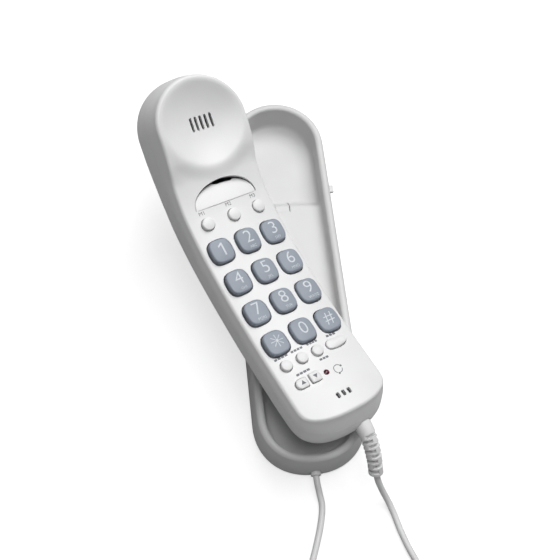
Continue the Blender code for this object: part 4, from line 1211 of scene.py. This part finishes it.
# ================================================================ stage
def studio():
    """Camera, floor, a soft key light behind on the right and a softer fill overhead.

    The floor glows and the world is white to camera rays only, so both look white while they
    send little light onto the telephone.
    """
    camera = bpy.data.cameras.new("camera")
    camera.lens, camera.sensor_width = LENS_MM, SENSOR_MM
    azimuth, elevation, roll = (math.radians(d) for d in CAMERA_TURN)
    back = Vector((math.sin(azimuth) * math.cos(elevation), -math.cos(azimuth) * math.cos(elevation),
                   math.sin(elevation)))
    level = Vector((0.0, 0.0, 1.0)).cross(back).normalized()
    upright = back.cross(level)
    right = level * math.cos(roll) + upright * math.sin(roll)
    up = upright * math.cos(roll) - level * math.sin(roll)
    aim = Vector(on_cradle(CAMERA_AIM))
    holder = bpy.data.objects.new("camera", camera)
    holder.matrix_world = Matrix.Translation(aim + back * CAMERA_BACK) @ Matrix(
        (right, up, back)).transposed().to_4x4()
    link(holder)
    bpy.context.scene.camera = holder
    bpy.context.scene.view_settings.view_transform = "Standard"

    made, shader = shader_of("floor_paper", (PAPER, PAPER, PAPER), 0.85)
    tree = made.node_tree
    whitened = node(tree, "Math")
    whitened.operation = "MULTIPLY"
    whitened.inputs[1].default_value = PAPER_GLOW
    tree.links.new(node(tree, "LightPath").outputs["Is Camera Ray"], whitened.inputs[0])
    tree.links.new(whitened.outputs["Value"], shader.inputs["Emission Strength"])
    shader.inputs["Emission Color"].default_value = WHITE
    fibre = noise(tree, 1.5 * MM, 3.0)
    bumped(tree, shader, fibre.outputs["Fac"], 0.02 * MM, 0.1)
    bpy.ops.mesh.primitive_plane_add(size=8.0)
    floor = bpy.context.object
    floor.name = "floor"
    floor.data.materials.append(made)

    world = bpy.data.worlds.new("studio")
    world.use_nodes = True
    backdrop = world.node_tree.nodes["Background"]
    backdrop.inputs["Color"].default_value = (0.98, 0.99, 1.0, 1.0)
    backdrop.inputs["Strength"].default_value = WORLD_LIGHT
    seen = node(world.node_tree, "Background", Color=WHITE)
    chosen = node(world.node_tree, "MixShader")
    kind = node(world.node_tree, "LightPath")
    links = world.node_tree.links
    links.new(kind.outputs["Is Camera Ray"], chosen.inputs["Fac"])
    links.new(backdrop.outputs["Background"], chosen.inputs[1])
    links.new(seen.outputs["Background"], chosen.inputs[2])
    links.new(chosen.outputs["Shader"], world.node_tree.nodes["World Output"].inputs["Surface"])
    bpy.context.scene.world = world
    for name, at, size, power in LIGHTS:
        light = bpy.data.lights.new(name, "AREA")
        light.shape, light.size, light.energy = "DISK", size, power
        lamp = bpy.data.objects.new(name, light)
        lamp.location = at
        lamp.rotation_euler = (Vector(at) - Vector(LIGHT_AIM)).to_track_quat("Z", "Y").to_euler()
        link(lamp)


# ================================================================ operators
class Step:
    """What every operator does: it runs its builders in turn."""

    def execute(self, context):
        for build in self.builders:
            build()
        return {"FINISHED"}


class PHONE_OT_stage(Step, bpy.types.Operator):
    """Set up the camera, the floor and the lights"""
    bl_idname = "phone.stage"
    bl_label = "Stage"
    builders = (studio,)


class PHONE_OT_cord(Step, bpy.types.Operator):
    """Lay the curly cord between the handset and the cradle"""
    bl_idname = "phone.cord"
    bl_label = "Curly cord"
    builders = (curly_cord,)


class PHONE_OT_strain_relief(Step, bpy.types.Operator):
    """Make the ringed strain relief at the handset's mouth end"""
    bl_idname = "phone.strain_relief"
    bl_label = "Strain relief"
    builders = (strain_relief,)


class PHONE_OT_handset_shells(Step, bpy.types.Operator):
    """Make the handset's front and back shells and the ramp in the hanging slot"""
    bl_idname = "phone.handset_shells"
    bl_label = "Handset shells"
    builders = (handset_front, handset_back, hang_ramp)


class PHONE_OT_keys(Step, bpy.types.Operator):
    """Make the number keys, the memory and function keys and the volume keys"""
    bl_idname = "phone.keys"
    bl_label = "Keys"
    builders = (key_pieces,)


class PHONE_OT_marks(Step, bpy.types.Operator):
    """Print the numerals, the letters and the small generic marks"""
    bl_idname = "phone.marks"
    bl_label = "Printed marks"
    builders = (key_marks, face_marks)


class PHONE_OT_lamp(Step, bpy.types.Operator):
    """Make the lens of the in-use lamp"""
    bl_idname = "phone.lamp"
    bl_label = "In-use lamp"
    builders = (lamp_lens,)


class PHONE_OT_cradle(Step, bpy.types.Operator):
    """Make the cradle's shell and its hanging tab"""
    bl_idname = "phone.cradle"
    bl_label = "Cradle"
    builders = (cradle_body, hang_tab)


class PHONE_OT_switches(Step, bpy.types.Operator):
    """Make the hook switch's plunger and the ringer switch's knob"""
    bl_idname = "phone.switches"
    bl_label = "Switches"
    builders = (hook_plunger, ringer_knob)


class PHONE_OT_inner_finishes(Step, bpy.types.Operator):
    """Give the inner pieces, the feet and the screws their finishes"""
    bl_idname = "phone.inner_finishes"
    bl_label = "Inner finishes"
    builders = (inner_finishes,)


STEPS = (PHONE_OT_stage, PHONE_OT_cord, PHONE_OT_strain_relief, PHONE_OT_handset_shells, PHONE_OT_keys,
         PHONE_OT_marks, PHONE_OT_lamp, PHONE_OT_cradle, PHONE_OT_switches, PHONE_OT_inner_finishes)


class PHONE_PT_panel(bpy.types.Panel):
    """The telephone's sizes, colours and building steps"""
    bl_idname = "PHONE_PT_panel"
    bl_label = "Wall Phone"
    bl_space_type = "VIEW_3D"
    bl_region_type = "UI"
    bl_category = "Wall Phone"

    def draw(self, context):
        for group in (context.scene.phone_sizes, context.scene.phone_colours):
            for name in group.bl_rna.properties.keys():
                if name not in ("rna_type", "name"):
                    self.layout.prop(group, name)
        for step in STEPS:
            self.layout.operator(step.bl_idname)


CLASSES = (PhoneSizes, PhoneColours, *STEPS, PHONE_PT_panel)


def register():
    """Register the classes and hang the properties on the scene."""
    for one in CLASSES:
        bpy.utils.register_class(one)
    bpy.types.Scene.phone_sizes = PointerProperty(type=PhoneSizes)
    bpy.types.Scene.phone_colours = PointerProperty(type=PhoneColours)


def unregister():
    """Take the properties and the classes away again."""
    del bpy.types.Scene.phone_colours
    del bpy.types.Scene.phone_sizes
    for one in reversed(CLASSES):
        bpy.utils.unregister_class(one)


def main():
    register()
    for step in STEPS:
        group, name = step.bl_idname.split(".")
        getattr(getattr(bpy.ops, group), name)()


if __name__ == "__main__":
    main()
